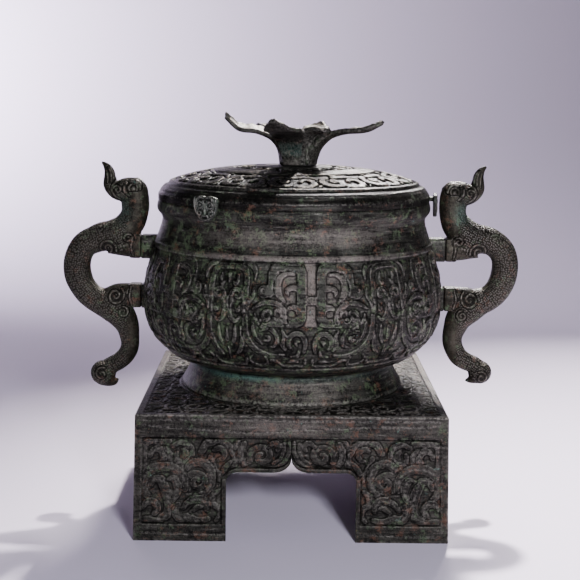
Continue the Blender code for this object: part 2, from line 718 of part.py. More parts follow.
def petal(bm, bearing, reach, tip, blade, base):
    """Loft one petal that climbs from the crown's foot, bends outwards and turns up at its tip."""
    stations = (
        (0.00, 0.08, PETAL_ROOT_WIDTH),
        (0.03, 0.30, PETAL_ROOT_WIDTH),
        (0.11, 0.66, 0.92 * PETAL_ROOT_WIDTH),
        (0.26, 1.00, 0.96 * blade),
        (0.50, 1.20, blade),
        (0.78, 1.28, 0.78 * blade),
        (1.00, tip / PETAL_BEND_HEIGHT, 0.10 * blade),
    )
    turn = Matrix.Rotation(math.radians(bearing), 4, "Z")
    line = [
        Vector((PETAL_ROOT_RADIUS + (reach - PETAL_ROOT_RADIUS) * out, 0.0, base + PETAL_BEND_HEIGHT * up))
        for out, up, _ in stations
    ]
    sections = []
    for i, (_, _, width) in enumerate(stations):
        along = (line[min(i + 1, len(line) - 1)] - line[max(i - 1, 0)]).normalized()
        normal = Vector((-along.z, 0.0, along.x))
        half = 0.5 * width
        thick = 0.5 * PETAL_THICKNESS
        ring = (
            line[i] + Vector((0.0, half, 0.0)) + normal * thick,
            line[i] - Vector((0.0, half, 0.0)) + normal * thick,
            line[i] - Vector((0.0, 0.6 * half, 0.0)) - normal * thick,
            line[i] + Vector((0.0, 0.6 * half, 0.0)) - normal * thick,
        )
        sections.append([bm.verts.new(turn @ point) for point in ring])
    for first, second in zip(sections, sections[1:]):
        for i in range(4):
            j = (i + 1) % 4
            bm.faces.new((first[i], first[j], second[j], second[i]))
    bm.faces.new(sections[0])
    bm.faces.new(tuple(reversed(sections[-1])))


def build_crown(parts, tools, finish):
    """Petals on a short round foot, soldered to the middle of the lid."""
    base = LID_CROWN_LEVEL + JOINT_GAP
    profile = [(0.0, base + CROWN_FOOT_HEIGHT), (0.8 * CROWN_FOOT_RADIUS, base + CROWN_FOOT_HEIGHT)]
    profile += [(CROWN_FOOT_RADIUS, base + 0.3 * CROWN_FOOT_HEIGHT), (CROWN_FOOT_RADIUS, base), (0.0, base)]
    made = turned("lid_crown", profile, 15, parts)
    for name, bearing, reach, tip, blade in PETALS:
        bm = bmesh.new()
        petal(bm, bearing, reach, tip, blade, base)
        boolean(made, object_from(bm, f"petal_{name}", tools), "UNION")
    applied(made)
    made.data.transform(Matrix.Translation((CROWN_OFFSET, 0.0, 0.0)))
    made.data.materials.append(finish)
    return made


def build_clasp(name, bearing, sag, parts, tools, finish):
    """A shield with a beast mask, held off the lip by an arm that meets the lid's rim."""
    half = 0.5 * CLASP_WIDTH
    foot = -CLASP_DROP - sag
    top = CLASP_HEIGHT + foot
    shoulder = top - 0.30 * CLASP_HEIGHT
    crest = [(-0.9 * half, top), (-0.3 * half, top), (0.0, top - 0.05 * CLASP_HEIGHT)]
    crest += [(0.3 * half, top), (0.9 * half, top)]
    bottom = [
        (half * math.cos(math.radians(a)), shoulder + (shoulder - foot) * math.sin(math.radians(a)))
        for a in (0.0, -30.0, -60.0, -90.0, -120.0, -150.0, -180.0)
    ]
    shield = slab(name, crest + bottom, 0.5 * CLASP_THICKNESS, parts)
    distance = LIP_RADIUS + CLASP_STANDOFF + 0.5 * CLASP_THICKNESS
    place = Matrix.Rotation(math.radians(bearing), 4, "Z") @ Matrix.Translation((0.0, -distance, LID_BASE))
    shield.data.transform(place)

    rim = math.sqrt(MOUTH_RADIUS**2 - (0.5 * CLASP_ARM_WIDTH) ** 2) + 0.0004
    arm_length = distance - rim
    bpy.ops.mesh.primitive_cube_add(size=1.0)
    arm = bpy.context.object
    arm.name = f"{name}_arm"
    arm.data.transform(Matrix.Diagonal((CLASP_ARM_WIDTH, arm_length, CLASP_ARM_HEIGHT, 1.0)))
    arm.data.transform(Matrix.Translation((0.0, 0.5 * arm_length, 0.7 * CLASP_ARM_HEIGHT)))
    arm.data.transform(place)
    features = [arm]
    for side in (-1.0, 1.0):
        bpy.ops.mesh.primitive_uv_sphere_add(segments=6, ring_count=3, radius=CLASP_EYE_RADIUS)
        eye = bpy.context.object
        eye.name = f"{name}_eye_{'left' if side < 0 else 'right'}"
        eye_level = foot + 0.68 * CLASP_HEIGHT
        eye.data.transform(Matrix.Translation((side * 0.42 * half, -0.45 * CLASP_THICKNESS, eye_level)))
        eye.data.transform(place)
        features.append(eye)
    for feature in features:
        boolean(shield, moved(feature, tools), "UNION")
    bm = bmesh.new()
    nose = [(0.0, foot + share * CLASP_HEIGHT) for share in (0.86, 0.42, 0.13)]
    front = 0.5 * CLASP_THICKNESS
    ridge(bm, nose, 0.34 * half, 0.0012, lambda x, z, out: place @ Vector((x, -front - out, z)))
    boolean(shield, object_from(bm, f"{name}_nose", tools), "UNION")
    applied(shield)
    shield.data.materials.append(finish)
    return shield


def tube(name, spine, tools):
    """A round tube along a handle's points, in the plane of the handles and flattened across it."""
    curve = bpy.data.curves.new(name, "CURVE")
    curve.dimensions = "3D"
    curve.bevel_depth = 1.0
    curve.bevel_resolution = HANDLE_SIDES // 2 - 2
    curve.use_fill_caps = True
    curve.twist_mode = "Z_UP"
    spline = curve.splines.new("POLY")
    spline.points.add(len(spine) - 1)
    for point, (x, z, half) in zip(spline.points, spine):
        point.co = (LUG_FACE + x, BOWL_BASE + z, 0.0, 1.0)
        point.radius = half
    path = object_of(curve, name + "_path", tools)
    bpy.context.view_layer.update()
    graph = bpy.context.evaluated_depsgraph_get()
    bm = bmesh.new()
    bm.from_mesh(bpy.data.meshes.new_from_object(path.evaluated_get(graph)))
    bpy.data.objects.remove(path)
    bmesh.ops.remove_doubles(bm, verts=bm.verts, dist=1e-6)
    stand = Matrix.Rotation(math.radians(90), 4, "X")
    flatten = Matrix.Diagonal((1.0, HANDLE_FLATNESS, 1.0, 1.0))
    bmesh.ops.transform(bm, matrix=flatten @ stand, verts=bm.verts)
    return object_from(bm, name, tools)


def handle_arm(name, level, height, outline, tools):
    """The limb of a handle that ends flat against a lug of the bowl."""
    start = LUG_FACE + JOINT_GAP
    low = BOWL_BASE + level - 0.5 * height
    limb = [(LUG_FACE + x, BOWL_BASE + z) for x, z in outline]
    return slab(name, [(start, low), *limb, (start, low + height)], 0.5 * LUG_THICKNESS, tools)


def build_handles(parts, tools, finish):
    """A dragon handle for the right side, and its mirror image for the left."""
    right = moved(tube("handle_right", HANDLE_SPINE, tools), parts)
    features = {"handle_beak": HANDLE_BEAK, "handle_head": HANDLE_HEAD, "handle_crest": HANDLE_CREST}
    for name, spine in features.items():
        boolean(right, tube(name, spine, tools), "UNION")
    for side, name in ((-1.0, "handle_front_eye"), (1.0, "handle_back_eye")):
        bpy.ops.mesh.primitive_uv_sphere_add(segments=6, ring_count=3, radius=HANDLE_EYE_RADIUS)
        eye = bpy.context.object
        eye.name = name
        x, z = HANDLE_EYE_PLACE
        across = side * 0.8 * HANDLE_FLATNESS * HANDLE_HEAD[3][2]
        eye.data.transform(Matrix.Translation((LUG_FACE + x, across, BOWL_BASE + z)))
        boolean(right, moved(eye, tools), "UNION")
    for name, level, height, outline in (
        ("handle_upper_arm", UPPER_LUG_LEVEL, UPPER_LUG_HEIGHT, HANDLE_UPPER_ARM),
        ("handle_lower_arm", LOWER_LUG_LEVEL, LOWER_LUG_HEIGHT, HANDLE_LOWER_ARM),
    ):
        boolean(right, handle_arm(name, level, height, outline, tools), "UNION")
    applied(right)
    right.data.materials.append(finish)
    bm = bmesh.new()
    bm.from_mesh(right.data)
    bmesh.ops.transform(bm, matrix=Matrix.Diagonal((-1.0, 1.0, 1.0, 1.0)), verts=bm.verts)
    bmesh.ops.reverse_faces(bm, faces=bm.faces)
    left = object_from(bm, "handle_left", parts)
    left.data.materials.append(finish)
    return right, left


def main():
    """Build every piece of the vessel."""
    clear_scene()
    parts = new_collection("bronze_gui")
    tools = new_collection("tools")
    dark = bronze("dark_bronze", (0.055, 0.058, 0.050), 0.55, 0.55)
    green = bronze("green_bronze", (0.075, 0.085, 0.070), 0.60, 0.45)
    worn = bronze("worn_bronze", (0.085, 0.078, 0.066), 0.50, 0.60)
    build_plinth(parts, tools, dark)
    build_bowl(parts, tools, green)
    build_lid(parts, tools, dark)
    build_crown(parts, tools, worn)
    for name, bearing, sag in CLASPS:
        build_clasp(f"clasp_{name}", bearing, sag, parts, tools, worn)
    build_handles(parts, tools, worn)
    for piece in parts.objects:
        piece.data.shade_smooth()
        piece.data.set_sharp_from_angle(angle=math.radians(35))


main()
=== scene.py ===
"""Bronze gui: finer relief and patina for the lidded food bowl with dragon handles and its square plinth.

Metres, +Z up, the front towards -Y. Carvings and outlines are drawn in millimetres.
"""

import logging
import math
from contextlib import contextmanager
from dataclasses import dataclass
from enum import Enum
from functools import partial
from typing import Callable, Iterator, Sequence

import bmesh
import bpy
import numpy as np
from mathutils import Matrix, Vector


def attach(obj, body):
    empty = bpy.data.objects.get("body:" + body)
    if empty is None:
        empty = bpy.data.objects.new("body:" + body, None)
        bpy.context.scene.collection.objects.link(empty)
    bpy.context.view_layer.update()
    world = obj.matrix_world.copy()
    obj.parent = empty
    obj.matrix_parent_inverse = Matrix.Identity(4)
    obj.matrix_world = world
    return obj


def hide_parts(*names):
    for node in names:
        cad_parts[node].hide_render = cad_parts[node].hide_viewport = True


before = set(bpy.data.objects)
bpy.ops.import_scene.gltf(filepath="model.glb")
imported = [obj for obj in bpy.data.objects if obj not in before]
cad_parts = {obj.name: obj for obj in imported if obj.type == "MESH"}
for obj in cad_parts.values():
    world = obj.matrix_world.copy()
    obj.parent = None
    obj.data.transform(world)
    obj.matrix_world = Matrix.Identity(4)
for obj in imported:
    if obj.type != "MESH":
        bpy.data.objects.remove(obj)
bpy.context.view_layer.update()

MM = 0.001
Point = tuple[float, float]
Point3 = tuple[float, float, float]
# A place along a swept form: its distance from the axis, its height and its half width or width.
Station = tuple[float, float, float]
# Inset of a surface that no carving comes near.
BARE = 3.0
# Points that lie this close, in metres, are one.
WELD = 0.000002
# Fields of noise: size of a blotch in millimetres, detail, roughness and shift.
NOISES: dict[str, tuple[float, float, float, Point3]] = {
    "cloud": (24.0, 7.0, 0.68, (0.0, 0.0, 0.0)),
    "grain": (2.2, 4.0, 0.7, (0.3, 0.1, 0.2)),
    "fleck": (0.9, 2.0, 0.6, (0.7, 0.2, 0.9)),
    "malachite": (9.0, 7.0, 0.74, (1.3, 0.4, 0.1)),
    "cuprite": (10.0, 7.0, 0.74, (0.2, 1.7, 0.6)),
    "spots": (7.0, 5.0, 0.65, (2.3, 0.9, 0.4)),
}
log = logging.getLogger("bronze_gui")


# Colours and nodes


def linear(code: str) -> tuple[float, float, float, float]:
    """Turn an sRGB hex colour into linear values.

    Args:
        code: The colour as "#rrggbb".

    Returns:
        Red, green, blue and an alpha of one.
    """
    channels = [int(code[i : i + 2], 16) / 255.0 for i in (1, 3, 5)]
    values = [c / 12.92 if c <= 0.04045 else ((c + 0.055) / 1.055) ** 2.4 for c in channels]
    return (values[0], values[1], values[2], 1.0)


def add_node(
    tree: bpy.types.NodeTree, kind: str, inputs: dict | None = None, output: int | str = 0, **settings: object
) -> bpy.types.NodeSocket:
    """Add a node with its settings and links.

    Args:
        tree: The node tree that takes it.
        kind: The node's type.
        inputs: A value or an output socket for each input, by name or number.
        output: The output that is wanted, by name or number.
        **settings: The node's own settings.

    Returns:
        That output's socket.
    """
    made = tree.nodes.new(f"ShaderNode{kind}")
    for key, value in settings.items():
        setattr(made, key, value)
    for key, value in (inputs or {}).items():
        if isinstance(value, bpy.types.NodeSocket):
            tree.links.new(value, made.inputs[key])
        else:
            made.inputs[key].default_value = value
    return made.outputs[output]


@dataclass(frozen=True)
class BronzePatina:
    """Cast tin bronze that has lain buried: a dark oxide skin with malachite, cuprite and dusty bloom."""

    name: str
    deep: str = "#080807"
    dark: str = "#121110"
    body: str = "#36342f"
    worn: str = "#97928a"
    green: str = "#3a4733"
    green_share: float = 0.34
    green_left: float = 0.0
    rust: str = "#4e3529"
    rust_share: float = 0.3
    dust: str = "#726a63"
    verdigris: str = "#52776c"
    metallic: float = 0.62
    roughness: float = 0.44
    streaks: float = 0.5
    pits: float = 0.7
    ground: float = 0.22
    soil: float = 0.82
    # Strength of the painted highlight along the ribbons' rims, which also stands for some real rubbing.
    rim: float = 0.32
    edge: str = "#7b7873"
    # Width of the edge of a green or red patch, on a scale where the noise runs from 0 to 1.
    patch_edge: float = 0.07
    # Strength of the cut edges' bump and its depth in metres, then the pits' depth.
    cut_bump: Point = (0.7, 0.0007)
    pit_depth: float = 0.0011

    def material(self) -> bpy.types.Material:
        """Build the patina's node tree.

        Returns:
            The finished material.
        """
        made = bpy.data.materials.new(self.name)
        made.use_nodes = True
        tree = made.node_tree
        shader = tree.nodes["Principled BSDF"]
        add = partial(add_node, tree)
        place = add("TexCoord", output="Object")
        names = ("inset", "wear", "dust", "verdigris")
        inset, wear, bloom, water = (add("Attribute", output="Fac", attribute_name=name) for name in names)
        noise = {}
        for name, (size, detail, rough, shift) in NOISES.items():
            spot = add("VectorMath", {0: place, 1: shift}, operation="ADD")
            field = {"Vector": spot, "Scale": 1.0 / (size * MM), "Detail": detail, "Roughness": rough}
            noise[name] = add("TexNoise", field, "Fac")
        grain, fleck = noise["grain"], noise["fleck"]
        flat = add("Mapping", {"Vector": place, "Scale": (0.09, 0.09, 1.0)})
        field = {"Vector": flat, "Scale": 1.0 / (2.2 * MM), "Detail": 4.0, "Roughness": 0.68}
        streak = add("TexNoise", field, "Fac")

        # Oxide skin: clouds of lighter and darker brown, broken up by grain, and by streaks where no bloom lies.
        tone = add("Math", {0: noise["cloud"], 1: 0.45}, operation="MULTIPLY")
        tone = add("Math", {0: grain, 1: 0.35, 2: tone}, operation="MULTIPLY_ADD")
        tone = add("Math", {0: fleck, 1: 0.2, 2: tone}, operation="MULTIPLY_ADD")
        streaky = add("Math", {0: bloom, 1: -self.streaks, 2: self.streaks}, operation="MULTIPLY_ADD")
        lean = add("Math", {0: streak, 1: 0.5}, operation="SUBTRACT")
        tone = add("Math", {0: lean, 1: streaky, 2: tone}, operation="MULTIPLY_ADD")

        # Malachite and cuprite break out in speckled patches, the first more towards the left.
        speckle = add("Math", {0: grain, 1: 0.3}, operation="MULTIPLY")
        speckle = add("Math", {0: fleck, 1: 0.25, 2: speckle}, operation="MULTIPLY_ADD")
        left = add("SeparateXYZ", {0: place}, "X")
        leftward = {"Value": left, "From Min": 0.02, "From Max": -0.08, "To Max": self.green_left}
        left = add("MapRange", leftward, interpolation_type="SMOOTHSTEP")
        malachite = add("Math", {0: noise["malachite"], 1: speckle}, operation="ADD")
        malachite = add("Math", {0: malachite, 1: left}, operation="ADD")
        cuprite = add("Math", {0: noise["cuprite"], 1: speckle}, operation="ADD")
        green_low, rust_low = (0.94 - 0.26 * share for share in (self.green_share, self.rust_share))
        damp = add("Math", {0: noise["cloud"], 1: fleck}, operation="ADD")

        # Ramps: what each reads, where it starts and ends, and how far it rises.
        ramps = {}
        for name, value, low, high, top in (
            ("skin", tone, 0.38, 0.64, 1.0),
            ("settled", tone, 0.34, 0.60, 1.0),
            ("green", malachite, green_low, green_low + self.patch_edge, 1.0),
            ("rust", cuprite, rust_low, rust_low + self.patch_edge, 1.0),
            ("damp", damp, 0.82, 1.12, 1.0),
            ("spots", noise["spots"], 0.66, 0.74, 0.55),
            ("rim", inset, -0.05, 0.3, self.rim),
            ("past_rim", inset, 0.4, 1.2, self.rim),
            ("scratch", streak, 0.60, 0.70, 0.7),
            ("grit", grain, 0.40, 0.62, 1.0),
            ("cut", inset, -1.5, -0.8, self.soil),
            ("past_cut", inset, -0.35, 0.1, self.soil),
            ("ground", inset, 0.0, -0.9, self.ground),
            ("edge", inset, -0.6, 0.45, 1.0),
        ):
            limits = {"Value": value, "From Min": low, "From Max": high, "To Max": top}
            ramps[name] = add("MapRange", limits, interpolation_type="SMOOTHSTEP")
        green, rust = ramps["green"], ramps["rust"]

        # Bloom is left where hands don't reach, and verdigris where water stood.
        dust = add("Math", {0: bloom, 1: ramps["settled"]}, operation="MULTIPLY")
        wet = add("Math", {0: water, 1: ramps["damp"]}, operation="MULTIPLY")
        wet = add("Math", {0: wet, 1: ramps["spots"]}, operation="MAXIMUM")

        # Raised rims get a painted highlight, which also stands for some real rubbing, and the tops of streaks are
        # rubbed lighter. The cut round each ribbon keeps dark soil.
        rim = add("Math", {0: ramps["rim"], 1: ramps["past_rim"]}, operation="SUBTRACT")
        scratch = add("Math", {0: ramps["scratch"], 1: streaky}, operation="MULTIPLY")
        rubbed = add("Math", {0: rim, 1: wear}, operation="MAXIMUM")
        rubbed = add("Math", {0: rubbed, 1: scratch}, operation="MAXIMUM")
        rubbed = add("Math", {0: rubbed, 1: ramps["grit"]}, operation="MULTIPLY")
        soil = add("Math", {0: ramps["cut"], 1: ramps["past_cut"]}, operation="SUBTRACT")
        soil = add("Math", {0: soil, 1: ramps["ground"]}, operation="MAXIMUM")

        # The layers of colour lie on each other from the oxide up to the soil.
        colour = linear(self.dark)
        for share, tint in (
            (ramps["skin"], self.body),
            (add("Math", {0: green, 1: 0.66}, operation="MULTIPLY"), self.green),
            (add("Math", {0: rust, 1: 0.62}, operation="MULTIPLY"), self.rust),
            (dust, self.dust),
            (wet, self.verdigris),
            (rubbed, self.worn),
            (soil, self.deep),
        ):
            colour = add("Mix", {"Factor": share, 6: colour, 7: linear(tint)}, 2, data_type="RGBA")
        tree.links.new(colour, shader.inputs["Base Color"])

        # What covers the metal is rougher and mirrors less, and rubbing smooths it.
        covered = wet
        for other in (green, rust, dust):
            covered = add("Math", {0: covered, 1: other}, operation="MAXIMUM")
        rough = add("Math", {0: grain, 1: 0.35, 2: self.roughness - 0.17}, operation="MULTIPLY_ADD")
        rough = add("Math", {0: covered, 1: 0.12, 2: rough}, operation="MULTIPLY_ADD")
        rough = add("Math", {0: rubbed, 1: -0.10, 2: rough}, operation="MULTIPLY_ADD")
        tree.links.new(rough, shader.inputs["Roughness"])
        bare = add("Math", {0: covered, 1: -0.75 * self.metallic, 2: self.metallic}, operation="MULTIPLY_ADD")
        tree.links.new(bare, shader.inputs["Metallic"])
        shader.inputs["Specular Tint"].default_value = linear(self.edge)

        pits = add("Math", {0: grain, 1: 0.6}, operation="MULTIPLY")
        pits = add("Math", {0: fleck, 1: 0.4, 2: pits}, operation="MULTIPLY_ADD")
        furrow = add("Math", {0: streak, 1: streaky}, operation="MULTIPLY")
        pits = add("Math", {0: furrow, 1: 1.3, 2: pits}, operation="MULTIPLY_ADD")
        normal = None
        for height, strength, distance in self.heights(tree, shader, ramps["edge"], pits):
            bump = {"Height": height, "Strength": strength, "Distance": distance}
            normal = add("Bump", bump if normal is None else {**bump, "Normal": normal}, "Normal")
        tree.links.new(normal, shader.inputs["Normal"])
        return made

    def heights(
        self, tree: bpy.types.NodeTree, shader: bpy.types.Node, edge: bpy.types.NodeSocket, pits: bpy.types.NodeSocket
    ) -> list[tuple[bpy.types.NodeSocket, float, float]]:
        """List the heights that are laid over the form: the cut edges, then the casting's pits.

        Args:
            tree: The material's node tree; not used here.
            shader: The material's shader; not used here.
            edge: Height across a ribbon's edge.
            pits: Height of the pitted and streaked skin.

        Returns:
            Each height with its strength and its depth in metres.
        """
        return [(edge, *self.cut_bump), (pits, self.pits, self.pit_depth)]


@dataclass(frozen=True)
class ScaledBronze(BronzePatina):
    """The dragons' bronze: the same patina, with small round scales chased into the skin."""

    cut_bump: Point = (0.5, 0.0005)
    pit_depth: float = 0.0005
    scale_bump: Point = (0.85, 0.0007)
    scale_size: float = 1.8
    gap_share: float = 0.3
    tip_highlight_share: float = 0.15

    def heights(
        self, tree: bpy.types.NodeTree, shader: bpy.types.Node, edge: bpy.types.NodeSocket, pits: bpy.types.NodeSocket
    ) -> list[tuple[bpy.types.NodeSocket, float, float]]:
        """Put scales under the cut edges and pits, dark in their gaps, with a painted highlight that lightens their
        tips.

        Args:
            tree: The material's node tree.
            shader: The material's shader.
            edge: Height across a ribbon's edge.
            pits: Height of the pitted and streaked skin.

        Returns:
            Each height with its strength and its depth in metres.
        """
        add = partial(add_node, tree)
        along = add("Attribute", output="Vector", attribute_name="scale_place")
        cells = {"Vector": along, "Scale": 1.0 / self.scale_size, "Randomness": 0.55}
        cell = add("TexVoronoi", cells, "Distance", voronoi_dimensions="2D", feature="F1")
        fall = {"Value": cell, "From Min": 0.60, "From Max": 0.22}
        dome = add("MapRange", fall, interpolation_type="SMOOTHSTEP")
        mask = add("Attribute", output="Fac", attribute_name="scaly")
        height = add("Math", {0: dome, 1: mask}, operation="MULTIPLY")
        gap = add("Math", {0: mask, 1: height}, operation="SUBTRACT")
        # Painted highlight on the top of each scale.
        tip = add("Math", {0: height, 1: 3.0}, operation="POWER")
        colour = shader.inputs["Base Color"].links[0].from_socket
        for share, most, tint in ((gap, self.gap_share, self.deep), (tip, self.tip_highlight_share, self.worn)):
            share = add("Math", {0: share, 1: most}, operation="MULTIPLY")
            colour = add("Mix", {"Factor": share, 6: colour, 7: linear(tint)}, 2, data_type="RGBA")
        tree.links.new(colour, shader.inputs["Base Color"])
        return [(height, *self.scale_bump), *super().heights(tree, shader, edge, pits)]


# Carving


class Mode(Enum):
    """How a stroke meets what was carved before it."""

    OVER = "over"
    JOIN = "join"
    CUT = "cut"


@dataclass(frozen=True)
class Stroke:
    """One ribbon of a carving: a path in millimetres with its half width at each point."""

    path: np.ndarray
    half: np.ndarray
    mode: Mode = Mode.OVER

    def inside(self, points: np.ndarray) -> np.ndarray:
        """Measure how deep points lie inside the ribbon.

        Args:
            points: Places on the surface, one row each.

        Returns:
            Distance from the ribbon's edge, positive inside.
        """
        start, along = self.path[:-1], self.path[1:] - self.path[:-1]
        length = np.maximum((along**2).sum(axis=1), 1e-9)
        offset = points[:, None, :] - start[None]
        share = np.clip((offset * along[None]).sum(axis=2) / length, 0.0, 1.0)
        away = np.linalg.norm(offset - share[..., None] * along[None], axis=2)
        half = self.half[:-1] + share * (self.half[1:] - self.half[:-1])
        return (half - away).max(axis=1)

    def moved(self, turn: float, size: float, to: Point, mirror: bool = False) -> "Stroke":
        """Copy the stroke to another place.

        Args:
            turn: Turn in degrees.
            size: Scale.
            to: Where its origin goes.
            mirror: Whether its first coordinate is mirrored beforehand.

        Returns:
            The copy.
        """
        a = math.radians(turn)
        flip = np.array([-1.0 if mirror else 1.0, 1.0])
        matrix = np.array([[math.cos(a), math.sin(a)], [-math.sin(a), math.cos(a)]])
        return Stroke((self.path * flip) @ matrix * size + np.array(to), self.half * size, self.mode)


def smooth_path(points: Sequence[Sequence[float]], steps: int = 6) -> np.ndarray:
    """Run a smooth curve through points.

    Args:
        points: Points of any dimension.
        steps: Samples between two points.

    Returns:
        The curve's samples.
    """
    p = np.array(points, dtype=float)
    p = np.vstack([2 * p[0] - p[1], p, 2 * p[-1] - p[-2]])
    t = np.linspace(0.0, 1.0, steps, endpoint=False)[:, None]
    spans = []
    for a, b, c, d in zip(p, p[1:], p[2:], p[3:]):
        spans.append(b + 0.5 * t * (c - a + t * (2 * a - 5 * b + 4 * c - d + t * (3 * (b - c) + d - a))))
    return np.vstack([*spans, p[-2][None]])


def scroll(points: Sequence[Point], widths: Sequence[float], mode: Mode = Mode.OVER) -> Stroke:
    """Draw a curved ribbon through points.

    Args:
        points: The points.
        widths: Widths, spread evenly along the ribbon.
        mode: How it meets what lies below.

    Returns:
        The ribbon.
    """
    shares = np.linspace(0.0, 1.0, len(points))
    width = np.interp(shares, np.linspace(0.0, 1.0, len(widths)), widths)
    curve = smooth_path(np.column_stack([np.array(points, dtype=float), width]))
    return Stroke(curve[:, :2], 0.5 * np.maximum(curve[:, 2], 0.2), mode)


def band(points: Sequence[Point], width: float, mode: Mode = Mode.OVER) -> Stroke:
    """Draw a straight-sided ribbon of one width."""
    return Stroke(np.array(points, dtype=float), np.full(len(points), 0.5 * width), mode)


def coil(centre: Point, radii: Point, turn: Point, widths: Sequence[float], mode: Mode = Mode.OVER) -> Stroke:
    """Draw a spiral ribbon.

    Args:
        centre: Its centre.
        radii: Radius at its start and end.
        turn: Bearing in degrees at its start and end.
        widths: Widths, spread evenly along the ribbon.
        mode: How it meets what lies below.

    Returns:
        The ribbon.
    """
    steps = max(6, int(abs(turn[1] - turn[0]) / 14.0))
    share = np.linspace(0.0, 1.0, steps)
    angle = np.radians(turn[0] + (turn[1] - turn[0]) * share)
    radius = radii[0] + (radii[1] - radii[0]) * share
    path = np.column_stack([centre[0] + radius * np.cos(angle), centre[1] + radius * np.sin(angle)])
    return Stroke(path, 0.5 * np.interp(share, np.linspace(0.0, 1.0, len(widths)), widths), mode)


def dot(centre: Point, radius: float, mode: Mode = Mode.OVER) -> Stroke:
    """Draw a round boss or hole."""
    x, y = centre
    return Stroke(np.array([(x, y), (x + 0.01, y)]), np.full(2, radius), mode)


def veined(strokes: Sequence[Stroke], broader: float, least: float) -> list[Stroke]:
    """Broaden ribbons, and draw a fine line along the middle of each wide one.

    Args:
        strokes: The ribbons.
        broader: How much broader each becomes.
        least: Width from which a ribbon gets a line.

    Returns:
        The ribbons with their lines.
    """
    lines = []
    for stroke in strokes:
        half = stroke.half * broader
        lines.append(Stroke(stroke.path, half, stroke.mode))
        trim = len(stroke.path) // 9
        if stroke.mode is Mode.OVER and 2.0 * half.max() > least:
            middle = stroke.path[trim : len(stroke.path) - trim]
            lines.append(Stroke(middle, np.full(len(middle), 0.05), Mode.CUT))
    return lines


@dataclass
class Carving:
    """Ribbons laid on each other, each with a cut line round it."""

    strokes: list[Stroke]
    gap: float = 1.3
    reach: float = 4.0

    def inset(self, points: np.ndarray) -> np.ndarray:
        """Measure the carving at points.

        Args:
            points: Places on the surface in millimetres, one row each.

        Returns:
            Distance from the nearest edge: positive on ribbons, negative on the ground between them.
        """
        depth = np.full(len(points), -self.reach)
        for stroke in self.strokes:
            pad = self.reach + float(stroke.half.max())
            low, high = stroke.path.min(axis=0) - pad, stroke.path.max(axis=0) + pad
            near = np.nonzero(np.all((points > low) & (points < high), axis=1))[0]
            for part in np.array_split(near, max(1, len(near) // 20000)):
                if not len(part):
                    continue
                here = stroke.inside(points[part])
                before = depth[part]
                if stroke.mode is Mode.OVER:
                    depth[part] = np.maximum(here, np.minimum(before, -here - self.gap))
                elif stroke.mode is Mode.JOIN:
                    depth[part] = np.maximum(here, before)
                else:
                    depth[part] = np.minimum(before, -here)
        return depth


def rise(values: np.ndarray, low: float, high: float) -> np.ndarray:
    """Rise smoothly from 0 at `low` to 1 at `high`."""
    share = np.clip((values - low) / (high - low), 0.0, 1.0)
    return share * share * (3.0 - 2.0 * share)


def lift_of(inset: np.ndarray, height: float, hollow: float) -> np.ndarray:
    """Turn insets into heights.

    Args:
        inset: Distances from the ribbons' edges in millimetres.
        height: Height of a ribbon above the ground.
        hollow: How far a ribbon's middle dips below its rims.

    Returns:
        Heights in metres, with the rims near zero and the ground below.
    """
    ground = height * (1.0 - rise(inset, -0.75, 0.55))
    dip = hollow * rise(inset, 0.7, 1.9) * (inset < 2.9)
    return -(ground + dip) * MM


def waver(points: np.ndarray, size: float, amount: float) -> np.ndarray:
    """Shift points a little, so that repeats look drawn by hand.

    Args:
        points: Places in millimetres.
        size: Length of a wave.
        amount: Largest shift.

    Returns:
        The shifted places.
    """
    k = math.tau / size
    x, y = points[:, 0], points[:, 1]
    shift = np.column_stack([np.sin(k * y + 0.7 * k * x), np.sin(k * x * 1.3 - k * y + 1.1)])
    return points + amount * shift


# Meshes


def deselect() -> None:
    """Deselect every object."""
    for found in bpy.context.selected_objects:
        found.select_set(False)


def select(*objects: bpy.types.Object) -> bpy.types.Object:
    """Select these objects alone, and make the first active.

    Args:
        *objects: What to select.

    Returns:
        The active object.
    """
    deselect()
    for found in objects:
        found.select_set(True)
    bpy.context.view_layer.objects.active = objects[0]
    return objects[0]


def primitive(operator: Callable, **settings: object) -> bpy.types.Object:
    """Add a primitive, selected alone, with its place in its mesh.

    Args:
        operator: The operator that adds it.
        **settings: The operator's settings.

    Returns:
        The new object.
    """
    deselect()
    operator(**settings)
    bpy.ops.object.transform_apply(location=True, rotation=True, scale=True)
    return bpy.context.object


def grid(columns: int, rows: int) -> tuple[bpy.types.Object, np.ndarray, np.ndarray]:
    """Add a grid.

    Args:
        columns: Its cells across.
        rows: Its cells along.

    Returns:
        The grid, and each vertex's column and row.
    """
    made = primitive(bpy.ops.mesh.primitive_grid_add, x_subdivisions=columns, y_subdivisions=rows, size=1.0)
    flat = positions(made) + 0.5
    return made, np.rint(flat[:, 0] * columns).astype(int), np.rint(flat[:, 1] * rows).astype(int)


@contextmanager
def open_mesh(piece: bpy.types.Object) -> Iterator[bmesh.types.BMesh]:
    """Open a piece's mesh part by part, and write it back afterwards.

    Args:
        piece: The piece.

    Yields:
        The mesh.
    """
    bm = bmesh.new()
    bm.from_mesh(piece.data)
    yield bm
    bm.to_mesh(piece.data)
    bm.free()


@contextmanager
def editing(piece: bpy.types.Object) -> Iterator[None]:
    """Open a piece in edit mode with all of its mesh selected, and close it afterwards.

    Args:
        piece: The piece.

    Yields:
        Nothing.
    """
    select(piece)
    bpy.ops.object.mode_set(mode="EDIT")
    bpy.ops.mesh.select_all(action="SELECT")
    yield
    bpy.ops.object.mode_set(mode="OBJECT")


def applied(piece: bpy.types.Object, kind: str, **settings: object) -> None:
    """Give a piece a modifier and apply it.

    Args:
        piece: The piece.
        kind: The modifier's type.
        **settings: The modifier's settings.
    """
    select(piece)
    modifier = piece.modifiers.new(kind, kind)
    for key, value in settings.items():
        setattr(modifier, key, value)
    bpy.ops.object.modifier_apply(modifier=modifier.name)


